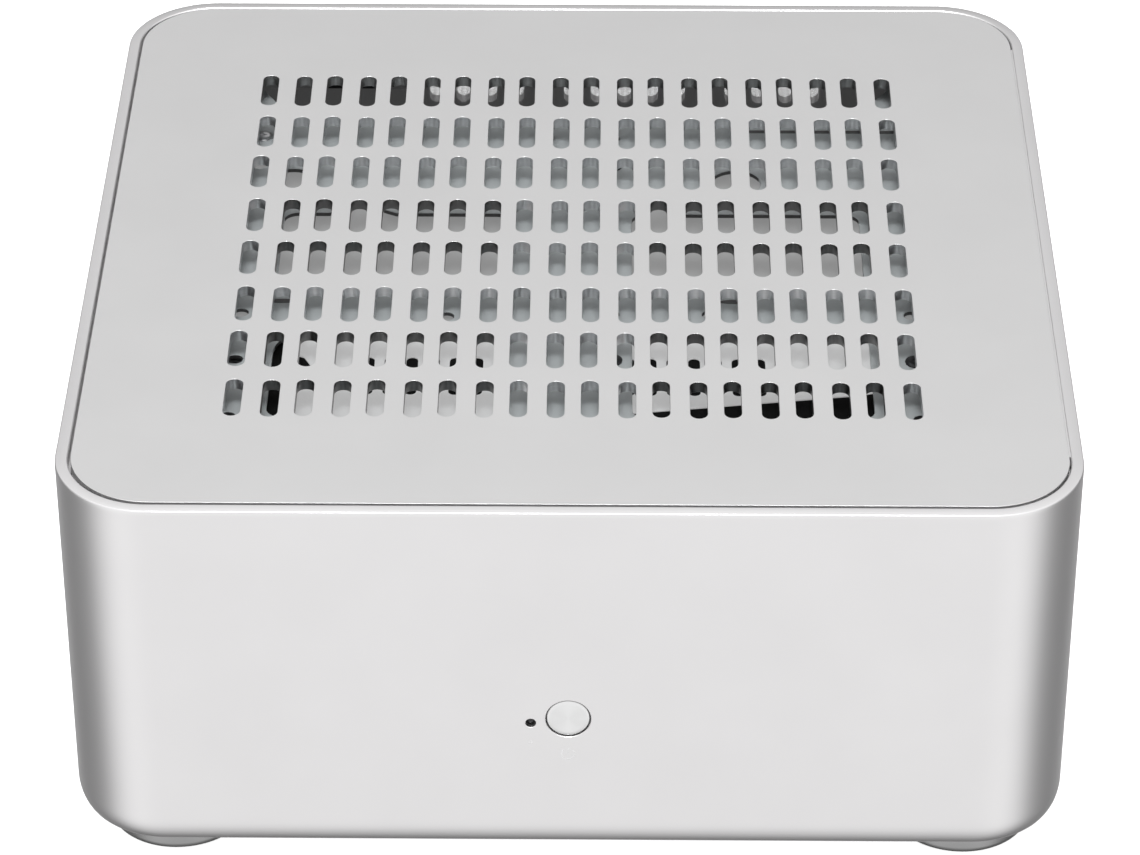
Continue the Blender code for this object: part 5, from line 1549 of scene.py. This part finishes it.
def build_stage():
    """A pale paper floor. Metal doesn't mirror it: the world stands for the studio around the object."""
    shape = bmesh.new()
    bmesh.ops.create_grid(shape, x_segments=1, y_segments=1, size=6000)
    floor = object_of("floor", shape)
    made, _, shader = shader_of("floor_paper")
    shader.inputs["Base Color"].default_value = (0.9, 0.9, 0.9, 1)
    shader.inputs["Roughness"].default_value = 0.9
    shader.inputs["Specular IOR Level"].default_value = 0.0
    shader.inputs["Emission Color"].default_value = (1, 1, 1, 1)
    shader.inputs["Emission Strength"].default_value = 0.75
    floor.data.materials.append(made)
    floor.visible_glossy = False


def build_world():
    """A white tent: brighter in front, darker low down at the sides and behind, with a softbox overhead."""
    world = bpy.data.worlds.new("studio")
    bpy.context.scene.world = world
    world.use_nodes = True
    tree = world.node_tree
    place = tree.nodes.new("ShaderNodeTexCoord")
    split = tree.nodes.new("ShaderNodeSeparateXYZ")
    tree.links.new(place.outputs["Generated"], split.inputs["Vector"])

    def maths(operation, *values):
        node = tree.nodes.new("ShaderNodeMath")
        node.operation = operation
        for socket, value in zip(node.inputs, values):
            if isinstance(value, (int, float)):
                socket.default_value = value
            else:
                tree.links.new(value, socket)
        return node.outputs["Value"]

    x, y, z = split.outputs["X"], split.outputs["Y"], split.outputs["Z"]
    flat = maths("SQRT", maths("ADD", maths("MULTIPLY", x, x), maths("MULTIPLY", y, y)))
    facing = maths("DIVIDE", y, maths("MAXIMUM", flat, 0.001))      # -1 in front, 1 behind
    share = maths("MULTIPLY_ADD", facing, 0.5, 0.5)

    def tones(value, stops):
        return ramp(tree, value, [(position, (tone, tone, tone)) for position, tone in stops])

    low_half = tones(share, [(0.0, 0.95), (0.05, 0.99), (0.11, 1.11), (0.20, 0.99), (0.29, 0.76), (0.36, 0.46),
                             (0.43, 0.25), (0.52, 0.20), (0.80, 0.20), (0.92, 0.45), (1.0, 0.6)])
    height = maths("MULTIPLY_ADD", z, 0.5, 0.5)
    beneath = tones(height, [(0.0, 0.22), (0.04, 0.40), (0.10, 0.78), (0.16, 0.95), (0.20, 1.0)])
    behind = tones(height, [(0.5, 0.17), (0.70, 0.385), (0.74, 0.49), (0.80, 0.825), (0.88, 1.055), (1.0, 1.055)])
    front = tones(height, [(0.5, 0.95), (0.7, 1.15), (1.0, 1.0)])

    def blend(factor, a, b):
        node = tree.nodes.new("ShaderNodeMix")
        node.data_type = "RGBA"
        for socket, value in zip((node.inputs["Factor"], node.inputs["A"], node.inputs["B"]), (factor, a, b)):
            tree.links.new(value, socket)
        return node.outputs["Result"]

    def times(a, b):
        node = tree.nodes.new("ShaderNodeVectorMath")
        node.operation = "MULTIPLY"
        tree.links.new(a, node.inputs[0])
        tree.links.new(b, node.inputs[1])
        return node.outputs["Vector"]

    high_half = blend(tones(share, [(0.35, 0.0), (0.65, 1.0)]), front, behind)
    whole = blend(tones(height, [(0.46, 0.0), (0.54, 1.0)]), times(low_half, beneath), high_half)
    towards = tree.nodes.new("ShaderNodeVectorMath")
    towards.operation = "DOT_PRODUCT"
    tree.links.new(place.outputs["Generated"], towards.inputs[0])
    towards.inputs[1].default_value = (0, -0.36, 0.933)
    softbox = tones(towards.outputs["Value"], [(0.970, 0.0), (0.980, 1.0)])
    lift = tree.nodes.new("ShaderNodeVectorMath")
    lift.operation = "MULTIPLY_ADD"
    tree.links.new(softbox, lift.inputs[0])
    lift.inputs[1].default_value = (7.4, 7.6, 7.7)
    tree.links.new(whole, lift.inputs[2])
    background = tree.nodes["Background"]
    tree.links.new(lift.outputs["Vector"], background.inputs["Color"])
    background.inputs["Strength"].default_value = 1.0


def build_camera():
    """The camera of the reference view: a long lens, looking down on the front."""
    focal_share = 4530 / 1140           # focal length over the frame's width
    data = bpy.data.cameras.new("camera")
    data.sensor_width = 36.0
    data.lens = data.sensor_width * focal_share
    data.clip_start = 0.05
    camera = bpy.data.objects.new("camera", data)
    bpy.context.scene.collection.objects.link(camera)
    camera.location = Vector((6.76, -804.84, SHELL_HIGH.z + 500.66)) * MM
    heading, down = math.radians(0.521), math.radians(34.296)
    camera.rotation_euler = (math.pi / 2 - down, 0, heading)
    bpy.context.scene.camera = camera


build_camera()
build_shell()
build_vent_shade_mesh()
build_cover()
build_tray()
build_floor_plate()
build_feet()
build_fasteners()
build_button()
build_light()
build_marks()
build_switch()
build_spring()
build_spreader("left")
build_spreader("right")
build_drive("left", 1)
build_drive("right", -1)
build_board()
build_components()
build_processor()
build_heatsinks()
build_fan()
build_memory()
build_battery()
build_power()
build_shield()
build_ports()
build_cables()
build_stage()
build_world()
bpy.context.scene.view_settings.view_transform = "Standard"
